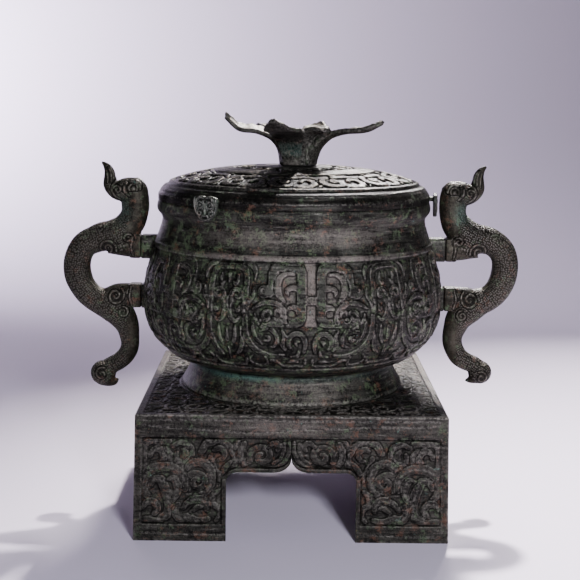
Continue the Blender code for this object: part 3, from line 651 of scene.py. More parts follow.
def joined(objects: Sequence[bpy.types.Object]) -> bpy.types.Object:
    """Join objects into the first.

    Args:
        objects: What to join.

    Returns:
        The joined object.
    """
    made = select(*objects)
    bpy.ops.object.join()
    return made


def positions(piece: bpy.types.Object, value: str = "co") -> np.ndarray:
    """Read three values of every vertex.

    Args:
        piece: The piece.
        value: What to read: "co" for places, "normal" for directions.

    Returns:
        One row a vertex.
    """
    values = np.empty(len(piece.data.vertices) * 3, dtype=np.float32)
    piece.data.vertices.foreach_get(value, values)
    return values.reshape(-1, 3).astype(float)


def place_vertices(piece: bpy.types.Object, points: np.ndarray) -> None:
    """Write every vertex's place."""
    piece.data.vertices.foreach_set("co", points.astype(np.float32).ravel())
    piece.data.update()


def surface_values(piece: bpy.types.Object, **values: np.ndarray | float) -> None:
    """Store values that the finishes read.

    Args:
        piece: The piece.
        **values: One number or one array a value, by name.
    """
    count = len(piece.data.vertices)
    for name, value in values.items():
        if isinstance(value, np.ndarray) and value.ndim == 2:
            layer = piece.data.attributes.new(name, "FLOAT_VECTOR", "POINT")
            layer.data.foreach_set("vector", value.astype(np.float32).ravel())
        else:
            layer = piece.data.attributes.new(name, "FLOAT", "POINT")
            layer.data.foreach_set("value", np.broadcast_to(value, count).astype(np.float32))


def melt(piece: bpy.types.Object, size: float, rounds: int) -> None:
    """Melt overlapping forms into one skin, with voxels of a size in metres, and smooth it."""
    applied(piece, "REMESH", mode="VOXEL", voxel_size=size)
    applied(piece, "SMOOTH", factor=0.5, iterations=rounds)


def drawn(path: Sequence[Point3]) -> bpy.types.Object:
    """Extrude a point along a path.

    Args:
        path: The path's points in metres.

    Returns:
        The line.
    """
    made = primitive(bpy.ops.mesh.primitive_plane_add, size=MM)
    with editing(made):
        bpy.ops.mesh.merge(type="CENTER")
        bpy.ops.transform.translate(value=path[0])
        for (x0, y0, z0), (x1, y1, z1) in zip(path, path[1:]):
            step = {"value": (x1 - x0, y1 - y0, z1 - z0)}
            bpy.ops.mesh.extrude_vertices_move(TRANSFORM_OT_translate=step)
    return made


def turned(profile: Sequence[Point], steps: int) -> bpy.types.Object:
    """Spin a closed half section about the axis.

    Args:
        profile: Radius and height along the section, which starts and ends on the axis.
        steps: Steps round the axis.

    Returns:
        The turned object.
    """
    made = drawn([(radius, 0.0, height) for radius, height in profile])
    with editing(made):
        bpy.ops.mesh.spin(steps=steps, angle=math.tau, center=(0.0, 0.0, 0.0), axis=(0.0, 0.0, 1.0))
        bpy.ops.mesh.select_all(action="SELECT")
        bpy.ops.mesh.remove_doubles(threshold=WELD)
        bpy.ops.mesh.normals_make_consistent(inside=False)
    return made


def bar(middle: Point3, size: Point3, soft: float = 0.0) -> bpy.types.Object:
    """Make a rectangular bar.

    Args:
        middle: Its middle in millimetres.
        size: Its three sides in millimetres.
        soft: How wide its edges are rounded, in millimetres.

    Returns:
        The bar.
    """
    made = primitive(bpy.ops.mesh.primitive_cube_add, size=1.0)
    bpy.ops.transform.resize(value=[side * MM for side in size])
    bpy.ops.transform.translate(value=[place * MM for place in middle])
    bpy.ops.object.transform_apply(location=True, rotation=True, scale=True)
    if soft:
        applied(made, "BEVEL", width=soft * MM, segments=3)
    return made


def run(*spans: tuple[Sequence[Point], float]) -> list[Point]:
    """Sample straight spans of a section at their own spacing.

    Args:
        *spans: Corner points of each span and the spacing along it, in millimetres.

    Returns:
        The section's points in metres.
    """
    points: list[Point] = []
    for corners, spacing in spans:
        for (r0, z0), (r1, z1) in zip(corners, corners[1:]):
            count = max(1, round(math.hypot(r1 - r0, z1 - z0) / spacing))
            for i in range(count):
                points.append(((r0 + (r1 - r0) * i / count) * MM, (z0 + (z1 - z0) * i / count) * MM))
        points.append((corners[-1][0] * MM, corners[-1][1] * MM))
    return [point for i, point in enumerate(points) if i == 0 or math.dist(point, points[i - 1]) > 1e-6]


def bell(values: np.ndarray, middle: float | np.ndarray, width: float) -> np.ndarray:
    """Peak at 1 in the middle and fall away on both sides."""
    return np.exp(-(((values - middle) / width) ** 2))


class Piece:
    """A piece of the vessel, which stands for one of the frame's solids."""

    node: str
    slot: str
    sharp: float

    def shape(self) -> bpy.types.Object:
        """Make the mesh, with the values that its finish reads."""
        raise NotImplementedError

    def build(self, finish: bpy.types.Material) -> None:
        """Make the piece, shade it, give it its finish and put it in its solid's place.

        Args:
            finish: Its patina.
        """
        piece = select(self.shape())
        piece.name = f"bronze_{self.node}"
        bpy.ops.object.shade_smooth_by_angle(angle=math.radians(self.sharp))
        piece.data.materials.clear()
        piece.data.materials.append(finish)
        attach(piece, "root")
        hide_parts(self.node)
        log.info("%s: %d triangles", piece.name, sum(len(face.vertices) - 2 for face in piece.data.polygons))


@dataclass
class Plinth(Piece):
    """Square hollow plinth with an arched opening in each side."""

    node: str = "plinth"
    slot: str = "dark_bronze"
    sharp: float = 62.0
    foot_half: float = 119.0
    top_half: float = 117.0
    height: float = 97.3
    wall: float = 4.2
    arch_half: float = 49.0
    arch_height: float = 53.8
    fillet: float = 8.0
    cusp_rise: float = 10.8
    cusp_reach: float = 13.5
    spacing: float = 1.18
    relief: float = 1.2
    top_relief: float = 0.9
    softened: float = 0.28
    top_hole: float = 84.0
    # Side of a tile of the top's scrollwork, and radius of the plain ring round the bowl's foot.
    tile: float = 18.0
    ring: float = 93.0

    def half_at(self, v: np.ndarray | float) -> np.ndarray | float:
        """Half the width of a side at a height."""
        return self.foot_half + (self.top_half - self.foot_half) * v / self.height

    def arch_at(self, u: float) -> float:
        """Find the height of the opening's edge.

        Args:
            u: Distance from the side's middle.

        Returns:
            The height.
        """
        u = abs(u)
        if u > self.arch_half - self.fillet:
            across = min(u - self.arch_half + self.fillet, self.fillet)
            return self.arch_height - self.fillet + math.sqrt(self.fillet**2 - across**2)
        if u < self.cusp_reach:
            sine = 1.0 - u / self.cusp_reach
            return self.arch_height + self.cusp_rise * (1.0 - math.sqrt(1.0 - sine * sine))
        return self.arch_height

    def columns(self) -> list[float]:
        """Space the grid's columns, closer at the cusp, the fillets and the corners.

        Returns:
            The columns' places.
        """
        near = [0.0, 0.25, 0.8, 1.6, 2.5, 3.5]
        far = [41.0, 42.2, 43.4, 44.6, 45.7, 46.7, 47.6, 48.3, 48.75, 49.0]
        count = round((far[0] - near[-1]) / self.spacing)
        middle = [near[-1] + (far[0] - near[-1]) * i / count for i in range(1, count)]
        leg = self.foot_half - 0.8 - self.arch_half
        count = round(leg / self.spacing)
        outer = [self.arch_half + leg * i / count for i in range(1, count + 1)] + [self.foot_half]
        right = near + middle + far + outer
        return [-c for c in reversed(right[1:])] + right

    def leg_strokes(self) -> list[Stroke]:
        """Draw the scrolls on the left leg, up to the opening.

        Returns:
            Its strokes.
        """
        return [
            scroll([(-110.2, 52), (-110.4, 62), (-110.2, 71), (-108, 76), (-101, 77), (-91, 76.4)], [3.2, 3.8, 3.6]),
            scroll([(-105.8, 65.5), (-103, 70.5), (-98, 70.5), (-95.4, 66), (-98, 61), (-104.5, 59.2)], [2.4, 4.4, 3]),
            scroll([(-93.5, 71.5), (-89.5, 66), (-90.8, 59.5), (-95.5, 56.6)], [2.2, 4.0, 2.0]),
            scroll(
                [(-88.5, 73.5), (-82, 76.6), (-76, 72.6), (-75, 65.5), (-79.6, 60.4), (-85.4, 62.6), (-85.2, 68.6)],
                [2.4, 4.0, 3.6, 2.4],
            ),
            scroll([(-81.2, 71.5), (-78.8, 68), (-80.6, 64.8)], [1.8, 3.2, 1.8]),
            scroll([(-67.5, 69), (-63, 76), (-54, 77.4), (-46.5, 73), (-42.2, 66), (-43, 58)], [3.6, 4.6, 4.4, 3.4]),
            scroll([(-58, 71), (-54.5, 72.6), (-50.4, 69.6), (-51, 64.6), (-55, 63)], [2.2, 3.6, 3.0, 2.0]),
            scroll([(-60.6, 66), (-59.4, 57), (-55.6, 51), (-51.6, 46.5)], [2.6, 5.4, 4.6, 2.0]),
            scroll([(-46, 61.5), (-50, 56.5), (-51.4, 52.5)], [2.0, 3.2, 1.6]),
            scroll(
                [
                    (-79.5, 52), (-76, 58.4), (-69.6, 61.6), (-62.6, 58.6), (-59.4, 51), (-60.6, 43), (-66, 37),
                    (-72, 35),
                ],
                [3.4, 4.6, 4.8, 4.4, 3.0],
            ),
            coil((-70.4, 46.2), (8.2, 1.4), (168.0, -330.0), [3.2, 3.0, 2.4]),
            scroll([(-82, 57.5), (-80.4, 50), (-79.6, 44), (-76.6, 39.4)], [2.0, 3.2, 2.0]),
            scroll(
                [
                    (-79.8, 41), (-81.6, 50), (-88, 56), (-97, 57.6), (-105.6, 54.6), (-110.6, 47.2), (-110.4, 39.4),
                    (-106.4, 33.6),
                ],
                [4.0, 5.2, 5.4, 5.2, 3.6],
            ),
            scroll(
                [
                    (-105.6, 42.5), (-103, 47.4), (-98, 48), (-95, 42), (-92.4, 34.5), (-91.4, 26.5), (-94, 20),
                    (-101, 17), (-110, 16.6),
                ],
                [2.6, 4.6, 5.6, 5.0, 3.4],
            ),
            scroll([(-92.6, 47.5), (-88.6, 48.2), (-85.4, 43), (-85.6, 36.6), (-88.6, 31)], [2.0, 4.4, 4.2, 2.0]),
            scroll([(-111.6, 25.6), (-108.4, 30), (-103.2, 30), (-100.4, 25.4), (-103, 20.8)], [2.2, 4.2, 4.4, 2.6]),
            scroll(
                [(-54.2, 40), (-58.4, 36), (-59.2, 29.6), (-55, 26.6), (-53.4, 21), (-56, 16)], [2.2, 3.8, 3.2, 2.2]
            ),
            scroll(
                [(-84.6, 28.6), (-87, 22.6), (-83.4, 17.4), (-76.6, 18.6), (-70, 16.4), (-62, 17.4)],
                [3.0, 5.0, 4.6, 3.0],
            ),
            scroll([(-81, 25), (-76.6, 30.4), (-69.6, 32.6), (-64, 30), (-63, 24)], [2.4, 4.2, 4.6, 2.2]),
            scroll([(-75, 22.6), (-70.6, 26.2), (-66.6, 27)], [1.8, 2.8, 1.6]),
        ]

    def apron_strokes(self) -> list[Stroke]:
        """Draw the scrolls on the left half over the opening.

        Returns:
            Its strokes.
        """
        return [
            scroll([(-41.4, 71.6), (-39.6, 76.4), (-34.6, 76.6)], [2.6, 3.6, 2.2]),
            scroll([(-35.4, 75.6), (-37.4, 69), (-36.6, 62.6), (-32.2, 56.6)], [3.2, 4.2, 4.0, 2.2]),
            scroll([(-30, 73), (-32.4, 67), (-30, 61)], [1.8, 3.2, 1.8]),
            coil((-22.4, 66.2), (9.4, 1.6), (205.0, -260.0), [3.2, 3.4, 2.6]),
            scroll([(-17.6, 73.6), (-13, 76.8), (-9.6, 74), (-11, 70.4)], [2.2, 3.6, 2.0]),
            band([(-1.6, 77), (-1.9, 69.6), (-5.2, 62.4), (-11.6, 57.8), (-20, 56.6), (-33, 56.4)], 2.2),
            band([(-5.8, 76), (-5.9, 70.6), (-8.6, 64.6), (-13.4, 60.8)], 2.0),
        ]

    def side_inset(self, u: np.ndarray, v: np.ndarray) -> np.ndarray:
        """Measure the carving of a side.

        Args:
            u: Distance from the side's middle.
            v: Height.

        Returns:
            Distance from the nearest ribbon's edge.
        """
        carving = Carving(veined(self.leg_strokes() + self.apron_strokes(), 1.42, 5.0), gap=0.85)
        points = waver(np.column_stack([-np.abs(u), v]), 37.0, 0.25)
        depth = carving.inset(points)
        arch = np.array([self.arch_at(float(x)) for x in u])
        edge = np.maximum(4.0 - np.maximum(v - arch, np.abs(u) - self.arch_half), -4.0)
        border = np.maximum.reduce([v - 80.0, np.abs(u) - self.half_at(v) + 5.6, 13.2 - v, edge - 1.0])
        depth = np.maximum(border, np.minimum(depth, -border - 1.1))
        wander = 0.5 * np.sin(u / 23.0) + 0.3 * np.sin(u / 9.0 + 1.0)
        line = np.minimum(np.abs(v - 5.4 - wander), np.abs(v - 84.6 - wander - 0.045 * np.abs(u + 30.0))) - 0.05
        ridge = np.abs(v - 93.6 + 0.6 * wander) - 0.05
        line = np.where(np.abs(u) < self.half_at(v) - 6.0, np.minimum(line, ridge), 2.0)
        return np.minimum(depth, line)

    def top_inset(self, points: np.ndarray) -> np.ndarray:
        """Measure the low scrollwork round the foot on the top.

        Args:
            points: Places on the top.

        Returns:
            Distance from the nearest ribbon's edge.
        """
        tile = [
            scroll(
                [(8.4, -6), (7.4, 2.6), (1.4, 7.4), (-5.4, 6), (-8, -0.4), (-4.6, -5.4), (0.8, -3.6), (0, 1.4)],
                [1.8, 3, 2.6, 1.6],
            ),
            scroll([(9, 9), (9.4, 3)], [1.4, 2.4]),
            scroll([(-9, 9.4), (-9.4, 4.6), (-6.6, 9)], [1.4, 2.4, 1.4]),
            scroll([(7.4, -9.2), (1, -8.8), (-5, -9.6)], [1.4, 2.8, 1.4]),
        ]
        strokes = []
        for i in range(-6, 7):
            for j in range(-6, 7):
                middle = (i * self.tile, j * self.tile)
                if max(abs(middle[0]), abs(middle[1])) > 115.0 or math.hypot(*middle) < 72.0:
                    continue
                turn = 90.0 * ((i + 2 * j) % 4)
                strokes += [stroke.moved(turn, 0.93, middle, (i + j) % 2 == 1) for stroke in tile]
        depth = Carving(strokes, gap=1.0).inset(waver(points, 31.0, 0.8))
        reach = np.abs(points).max(axis=1)
        border = np.maximum(reach - self.top_half + 5.5, self.ring - np.linalg.norm(points, axis=1))
        return np.maximum(border, np.minimum(depth, -border - 1.2))

    def side_sheet(self) -> bpy.types.Object:
        """Make the front side as a grid with its opening.

        Returns:
            The sheet, standing at the front.
        """
        across = self.columns()
        leg_rows = [0.0, 0.8]
        low = self.arch_height - self.fillet
        count = round((low - 0.8) / self.spacing)
        leg_rows += [0.8 + (low - 0.8) * i / count for i in range(1, count + 1)]
        rise_rows = round((self.height - low) / self.spacing)
        shares = [0.016] + [0.016 + 0.968 * i / rise_rows for i in range(1, rise_rows + 1)] + [1.0]
        columns, rows = len(across) - 1, len(leg_rows) + len(shares) - 1
        made, i, j = grid(columns, rows)
        c = np.array(across)[i]
        arch = np.array([self.arch_at(x) if abs(x) < self.arch_half else low for x in across])[i]
        heights = np.array(leg_rows + [0.0] * len(shares))[j]
        share = np.array([0.0] * len(leg_rows) + shares)[j]
        v = np.where(j < len(leg_rows), heights, arch + (self.height - arch) * share)
        v = np.where(j == len(leg_rows) - 1, arch, v)
        half = self.half_at(v)
        outer = np.abs(c) > self.arch_half
        leg = self.foot_half - self.arch_half
        stretch = self.arch_half + (np.abs(c) - self.arch_half) * (half - self.arch_half) / leg
        u = np.where(outer, np.sign(c) * stretch, c)
        place_vertices(made, np.column_stack([u, -half, v]) * MM)
        inside = (j < len(leg_rows) - 1) & (np.abs(c) < self.arch_half - 0.01)
        with open_mesh(made) as bm:
            bmesh.ops.delete(bm, geom=[vert for vert, hole in zip(bm.verts, inside) if hole], context="VERTS")
        return made

    def skin(self) -> bpy.types.Object:
        """Join four sides and the top into one open skin.

        Returns:
            The skin, its faces merged along the edges.
        """
        front = self.side_sheet()
        sheets = [front]
        for quarter in (1, 2, 3):
            copy = front.copy()
            copy.data = front.data.copy()
            bpy.context.collection.objects.link(copy)
            copy.data.transform(Matrix.Rotation(quarter * math.pi / 2, 4, "Z"))
            sheets.append(copy)
        across = np.array(self.columns())
        count = len(across) - 1
        top, i, j = grid(count, count)
        stretch = (self.top_half - self.arch_half) / (self.foot_half - self.arch_half)
        outer = np.abs(across) > self.arch_half
        beyond = np.sign(across) * (self.arch_half + (np.abs(across) - self.arch_half) * stretch)
        places = np.where(outer, beyond, across)
        place_vertices(top, np.column_stack([places[i], places[j], np.full(len(i), self.height)]) * MM)
        # One face closes the middle of the top, which the bowl's foot hides.
        with open_mesh(top) as bm:
            hidden = [vert for vert in bm.verts if vert.co.xy.length < self.top_hole * MM]
            bmesh.ops.delete(bm, geom=hidden, context="VERTS")
            near = (self.top_hole + 6.0) * MM
            rim = [edge for edge in bm.edges if edge.is_boundary and edge.verts[0].co.xy.length < near]
            bmesh.ops.contextual_create(bm, geom=rim)
        made = joined([top, *sheets])
        with editing(made):
            bpy.ops.mesh.remove_doubles(threshold=2.5 * WELD)
        return made

    def close(self, piece: bpy.types.Object) -> None:
        """Give the skin its wall: turn its edge inwards and close the inside.

        Args:
            piece: The skin.
        """
        with open_mesh(piece) as bm:
            edges = [edge for edge in bm.edges if edge.is_boundary]
            grown = bmesh.ops.extrude_edge_only(bm, edges=edges)["geom"]
            fresh = [item for item in grown if isinstance(item, bmesh.types.BMVert)]
            for vert in fresh:
                limit = (float(self.half_at(vert.co.z / MM)) - self.wall) * MM
                vert.co.x = max(-limit, min(limit, vert.co.x))
                vert.co.y = max(-limit, min(limit, vert.co.y))
            bmesh.ops.remove_doubles(bm, verts=fresh, dist=WELD)
            rim = [edge for edge in bm.edges if edge.is_boundary]
            ceiling = self.height - self.wall
            reach = (float(self.half_at(ceiling)) - self.wall) * MM
            signs = ((-1, -1), (1, -1), (1, 1), (-1, 1))
            corners = [bm.verts.new((x * reach, y * reach, ceiling * MM)) for x, y in signs]
            follow: dict[bmesh.types.BMVert, list] = {}
            for edge in rim:
                for vert in edge.verts:
                    follow.setdefault(vert, []).append(edge.other_vert(vert))
            chain = [rim[0].verts[0], rim[0].verts[1]]
            while len(chain) < len(follow):
                a, b = follow[chain[-1]]
                chain.append(b if a is chain[-2] else a)
            quarter = [self.inner_corner(vert) for vert in chain]
            starts = [n for n, found in enumerate(quarter) if found is not None]
            for first, second in zip(starts, starts[1:] + [starts[0] + len(chain)]):
                side = [chain[n % len(chain)] for n in range(first, second + 1)]
                bm.faces.new([*side, corners[quarter[second % len(chain)]], corners[quarter[first]]])
            bm.faces.new(corners)
            bmesh.ops.recalc_face_normals(bm, faces=bm.faces)

    def inner_corner(self, vert: bmesh.types.BMVert) -> int | None:
        """Find the inner corner that a vertex of the foot's edge stands in.

        Args:
            vert: The vertex.

        Returns:
            The corner's number, or None away from the corners.
        """
        limit = (float(self.half_at(0.0)) - self.wall) * MM - 2.0 * WELD
        if abs(vert.co.x) < limit or abs(vert.co.y) < limit or vert.co.z > 5.0 * WELD:
            return None
        right, back = vert.co.x > 0, vert.co.y > 0
        return (2 if right else 3) if back else (1 if right else 0)

    def carve(self, piece: bpy.types.Object) -> None:
        """Sink the ground of the carvings and soften the box's edges.

        Args:
            piece: The closed plinth.
        """
        place = positions(piece) / MM
        inset = np.full(len(place), BARE)
        wear = np.zeros(len(place))
        moved = place.copy()
        half = self.half_at(place[:, 2])
        for turn in range(4):
            c, s = round(math.cos(turn * math.pi / 2)), round(math.sin(turn * math.pi / 2))
            u = c * place[:, 0] + s * place[:, 1]
            out = s * place[:, 0] - c * place[:, 1]
            on = np.nonzero(out > half - 0.3)[0]
            found = self.side_inset(u[on], place[on, 2])
            inset[on] = np.minimum(inset[on], found)
            drop = lift_of(found, self.relief, 0.0) / MM
            moved[on, 0] += s * drop
            moved[on, 1] -= c * drop
            corner = np.maximum(np.abs(u[on]) - half[on], -place[on, 2])
            wear[on] = np.maximum(wear[on], 0.5 * bell(corner, 0.0, 0.8))
            wear[on] = np.maximum(wear[on], 0.7 * bell(place[on, 2], self.height, 0.8))
        on_top = place[:, 2] > self.height - 0.01
        top = np.nonzero(on_top)[0]
        found = self.top_inset(place[top, :2])
        moved[top, 2] += lift_of(found, self.top_relief, 0.1) / MM
        # The ground between the ribbons up here is full of dark soil.
        inset[top] = np.minimum(inset[top], np.where(found < -0.35, -1.0, found))
        # The box's edges are softened where two of its faces meet.
        sides = (np.abs(place[:, 0]) > half - 0.01).astype(int) + (np.abs(place[:, 1]) > half - 0.01)
        bottom = place[:, 2] < 0.01
        edge = (sides + on_top + bottom >= 2) & (sides > 0)
        for axis in (0, 1):
            at_side = edge & (np.abs(place[:, axis]) > half - 0.01)
            moved[at_side, axis] -= self.softened * np.sign(place[at_side, axis])
        moved[edge & on_top, 2] -= self.softened
        place_vertices(piece, moved * MM)
        # Bloom lies under the front's upper edge and round the top's rim. The top's front is lightened with rubbed
        # ribbons and bloom, partly real and partly painted light where the bowl shades it.
        level = np.abs(place[:, 2] - 88.0)
        dust = 0.3 * (1.0 - rise(level, 3.0, 8.0)) * rise(55.0 - np.abs(place[:, 0] + 8.0), 0.0, 50.0)
        dust = np.where(place[:, 1] < -110.0, dust, 0.0)
        border = on_top & (np.abs(place[:, :2]).max(axis=1) > 112.5)
        dust = np.where(border, 0.2, dust)
        front_top = on_top & (place[:, 1] < -84.0) & (np.abs(place[:, 0]) < 100.0)
        # Painted light: the ribbons and ground on the top's front are lightened where the bowl's shadow falls.
        wear = np.where(front_top & (inset > 0.2), np.maximum(wear, 0.6), wear)
        dust = np.where(front_top & (inset > -0.1), 0.5, dust)
        surface_values(piece, inset=inset, wear=wear, dust=dust, verdigris=0.0)

    def shape(self) -> bpy.types.Object:
        """Make and carve the plinth.

        Returns:
            The plinth.
        """
        piece = self.skin()
        self.close(piece)
        self.carve(piece)
        return piece


@dataclass
class Bowl(Piece):
    """The round bowl with its ring foot, and the lugs that carry the handles."""

    node: str = "bowl"
    slot: str = "green_bronze"
    sharp: float = 60.0
    steps: int = 560
    units: int = 6
    band_turn: float = 6.2
    widest: float = 121.2
    band_low: float = 128.6
    band_high: float = 212.6
    relief: float = 1.5
    outer: tuple[Point, ...] = (
        (90.8, 97.6), (90.9, 99.0), (90.2, 101.2), (88.4, 104.2), (86.4, 107.6), (84.7, 112.0), (83.5, 116.8),
        (84.0, 119.2), (86.4, 120.7), (92.0, 121.9), (99.6, 125.0), (105.0, 129.0), (109.0, 132.8), (113.8, 137.8),
        (117.0, 142.7), (119.3, 147.8), (120.9, 152.8), (122.0, 158.0), (122.5, 165.0), (122.5, 172.0), (122.2, 178.0),
        (121.7, 182.7), (121.0, 187.6), (120.0, 192.5), (118.4, 197.4), (115.7, 207.4), (113.9, 212.2), (113.4, 216.0),
        (112.4, 216.7), (110.4, 222.0), (108.7, 227.0), (107.5, 231.5), (107.2, 235.5), (108.8, 238.0), (110.8, 241.0),
        (111.3, 244.0), (110.6, 247.6), (109.9, 249.0),
    )
    lug_face: float = 124.5
    lug_half: float = 7.0
    lug_root: float = 110.0
    lugs: tuple[Point, ...] = ((209.1, 9.5), (168.3, 9.75))
    # Height and depth of the wavering lines on the neck.
    neck_lines: tuple[Point, ...] = ((221.4, 0.3), (225.0, 0.35), (229.2, 0.5), (233.4, 0.5), (238.2, 0.4))

    def section(self) -> list[Point]:
        """Draw the bowl's half section, from under its floor over the lip to the floor inside.

        Returns:
            The section's points in metres.
        """
        smooth = [tuple(point) for point in smooth_path(self.outer[:8], 2)]
        body = [tuple(point) for point in smooth_path(self.outer[7:26], 3)]
        neck = [tuple(point) for point in smooth_path(self.outer[25:], 2)]
        inside = [
            (108.6, 249.0), (107.4, 246.0), (105.2, 240.0), (104.3, 235.0), (105.8, 227.0), (109.0, 217.0),
            (113.0, 205.0), (116.6, 192.0), (118.8, 178.0), (118.8, 165.0), (116.6, 152.0), (111.0, 141.0),
            (103.0, 132.0), (95.0, 126.2), (84.0, 123.4), (60.0, 122.4), (30.0, 122.0),
        ]
        under = [(0.0, 118.2), (50.0, 118.2), (76.0, 117.6), (79.3, 114.0), (80.4, 109.0), (86.4, 98.4), (87.2, 97.6)]
        return run(
            (under, 20.0),
            ([under[-1], self.outer[0]], 1.8),
            (smooth, 1.7),
            (body, 1.25),
            (neck, 1.2),
            ([neck[-1], inside[0]], 1.3),
            (inside, 9.0),
            ([inside[-1], (0.0, 122.0)], 15.0),
        )

    def belt(self) -> Carving:
        """Draw the fretwork of half a unit, from the T's middle outwards.

        Returns:
            The carving.
        """
        frame_ribbon = [
            (35.2, 190.6), (31.2, 190.2), (29.6, 193.6), (29.6, 203.6), (28.2, 207.2), (24.8, 208.7), (12.0, 208.7),
            (8.6, 207.4), (7.4, 204.0), (7.4, 172.4), (8.6, 169.2), (12.0, 168.2), (27.0, 168.2), (33.0, 168.0),
        ]
        return Carving(
            [
                # Arch column between two units, with a pair of scroll heads in it.
                scroll([(63.5, 203), (63.5, 197)], [2.4, 1.2]),
                scroll([(57.4, 203.4), (56.4, 199), (58.4, 195.4), (60.6, 198.0)], [1.6, 2.8, 2.4, 1.2]),
                coil((56.2, 188.0), (5.6, 1.4), (-60.0, 330.0), [3.0, 3.2, 2.2]),
                scroll(
                    [(60.0, 184.0), (61.6, 177.6), (60.4, 171.6), (56.4, 168.4), (53.4, 171.4)], [2.8, 3.8, 3.2, 1.6]
                ),
                scroll([(63.5, 186), (63.5, 178)], [1.4, 2.2]),
                scroll([(53.0, 180.6), (54.6, 176.0), (56.6, 178.4)], [1.4, 2.6, 1.2]),
                scroll([(51.6, 165), (50.8, 155), (53.4, 146), (57.6, 141.8)], [2.4, 3.8, 3.4, 1.6]),
                scroll([(56.6, 164.6), (57.0, 156), (59.8, 149.4)], [1.8, 3.2, 1.6]),
                scroll([(63.5, 163), (63.5, 154)], [2.0, 3.6]),
                scroll([(63.5, 147), (63.5, 138)], [3.4, 1.4]),
                band([(49.4, 167), (49.4, 201), (50.8, 205.6), (54.6, 208.2), (63.6, 208.7)], 4.4),
                scroll([(52, 211.4), (46.6, 209.6), (43.4, 205.4), (43.0, 198.6)], [2.6, 3.8, 3.6, 1.2]),
                scroll([(43.8, 193.4), (43.6, 188), (46.8, 182.6), (47.6, 177)], [1.4, 3.2, 3.0, 1.6]),
                # Outer sweep under the frame.
                scroll(
                    [(48.6, 172), (48.2, 161), (45.6, 152.6), (39.4, 145.8), (29.4, 142.0), (19.6, 142.8)],
                    [4.0, 4.8, 4.6, 4.0, 2.2],
                ),
                scroll([(43.0, 171), (42.6, 163), (40.0, 156), (35.4, 151)], [1.8, 2.8, 2.6, 1.4]),
                scroll(
                    [(37.4, 161.6), (32.4, 163.4), (27.0, 161.4), (24.4, 156.0), (26.0, 150.4), (31.0, 148.8)],
                    [1.6, 2.8, 3.2, 3.0, 2.6, 1.4],
                ),
                scroll([(33.4, 158.2), (30.2, 156.6), (31.8, 153.6), (35.0, 155.0)], [1.4, 2.4, 2.2, 1.4]),
                scroll([(20.8, 162.4), (19.0, 156.6), (20.6, 150.6), (18.0, 146.6)], [1.8, 3.4, 3.0, 1.6]),
                # C-shaped frame with its boot-shaped end.
                band(frame_ribbon, 7.0),
                dot((35.4, 190.7), 4.9, Mode.JOIN),
                dot((36.2, 191.4), 0.9, Mode.CUT),
                band([(-1.0, 184.8), (8.0, 184.8)], 5.8, Mode.JOIN),
                scroll([(9.6, 193.2), (14.4, 194.0), (18.4, 191.8), (17.6, 188.4)], [4.4, 4.2, 3.4, 1.4], Mode.JOIN),
                scroll([(9.6, 178.8), (14.2, 180.0), (17.4, 178.2)], [4.4, 3.8, 1.6], Mode.JOIN),
                scroll(
                    [(13.6, 203.6), (19.4, 203.6), (24.0, 200.4), (25.6, 194.6), (24.2, 188.6), (20.0, 183.8)],
                    [2.0, 3.0, 4.4, 5.4, 4.8, 1.8],
                ),
                # Head that lies half over the frame's foot, with a curled eye.
                scroll(
                    [(18.6, 168.4), (19.4, 176.4), (24.0, 181.2), (30.4, 183.0), (37.4, 181.6), (43.6, 178.0)],
                    [2.6, 3.4, 4.0, 3.6, 1.6],
                ),
                coil((32.4, 172.4), (5.4, 1.2), (200.0, -200.0), [2.6, 2.8, 2.2]),
                scroll([(37.4, 170.0), (36.8, 165.4), (31.6, 163.6)], [2.4, 2.6, 1.4]),
                scroll([(21.6, 172.4), (23.0, 176.4), (26.2, 176.8), (27.0, 173.4)], [1.4, 2.4, 2.2, 1.2]),
                scroll([(41.4, 174.4), (40.6, 169.6), (38.2, 166.4)], [1.4, 2.6, 1.4]),
                # Lower pair of hooked heads beside the T, and the framed edge.
                scroll(
                    [
                        (4.4, 144.6), (3.4, 152.0), (5.8, 158.6), (10.6, 160.4), (15.2, 157.0), (16.0, 150.6),
                        (13.4, 147.4),
                    ],
                    [2.2, 3.4, 4.0, 4.2, 3.8, 3.0, 1.8],
                ),
                scroll([(8.2, 154.0), (10.8, 153.4), (9.8, 150.4)], [1.6, 2.4, 1.4]),
                scroll([(8.0, 146.6), (9.4, 142.0), (14.6, 141.6)], [1.6, 2.8, 1.6]),
                band(
                    [
                        (2.8, 138.6), (2.8, 134.6), (4.6, 132.4), (19.6, 132.2), (22.4, 134.0), (26.6, 137.6),
                        (30.0, 137.8),
                    ],
                    2.2,
                ),
                scroll(
                    [(34.0, 141.0), (33.0, 135.4), (36.8, 132.6), (44.0, 133.4), (47.4, 137.6), (44.6, 141.8)],
                    [1.6, 2.6, 2.6, 1.6],
                ),
                scroll([(8.4, 136.8), (13.0, 137.4), (17.2, 136.0)], [1.4, 2.2, 1.2]),
                band([(49.6, 138.6), (51.4, 133.4), (63.6, 132.6)], 2.2),
            ],
            gap=0.95,
        )

    def carve(self, piece: bpy.types.Object) -> None:
        """Sink the belt's ground, and mark where bloom and verdigris lie.

        Args:
            piece: The turned bowl.
        """
        place = positions(piece)
        normal = positions(piece, "normal")
        radius = np.hypot(place[:, 0], place[:, 1]) / MM
        z = place[:, 2] / MM
        angle = np.degrees(np.arctan2(place[:, 1], place[:, 0])) + 90.0 - self.band_turn
        turn = np.radians(angle)
        widths, heights = np.array(self.outer[6:]).T
        outside = (radius > np.interp(z, heights, widths) - 1.2) & (z > self.band_low - 2.0)

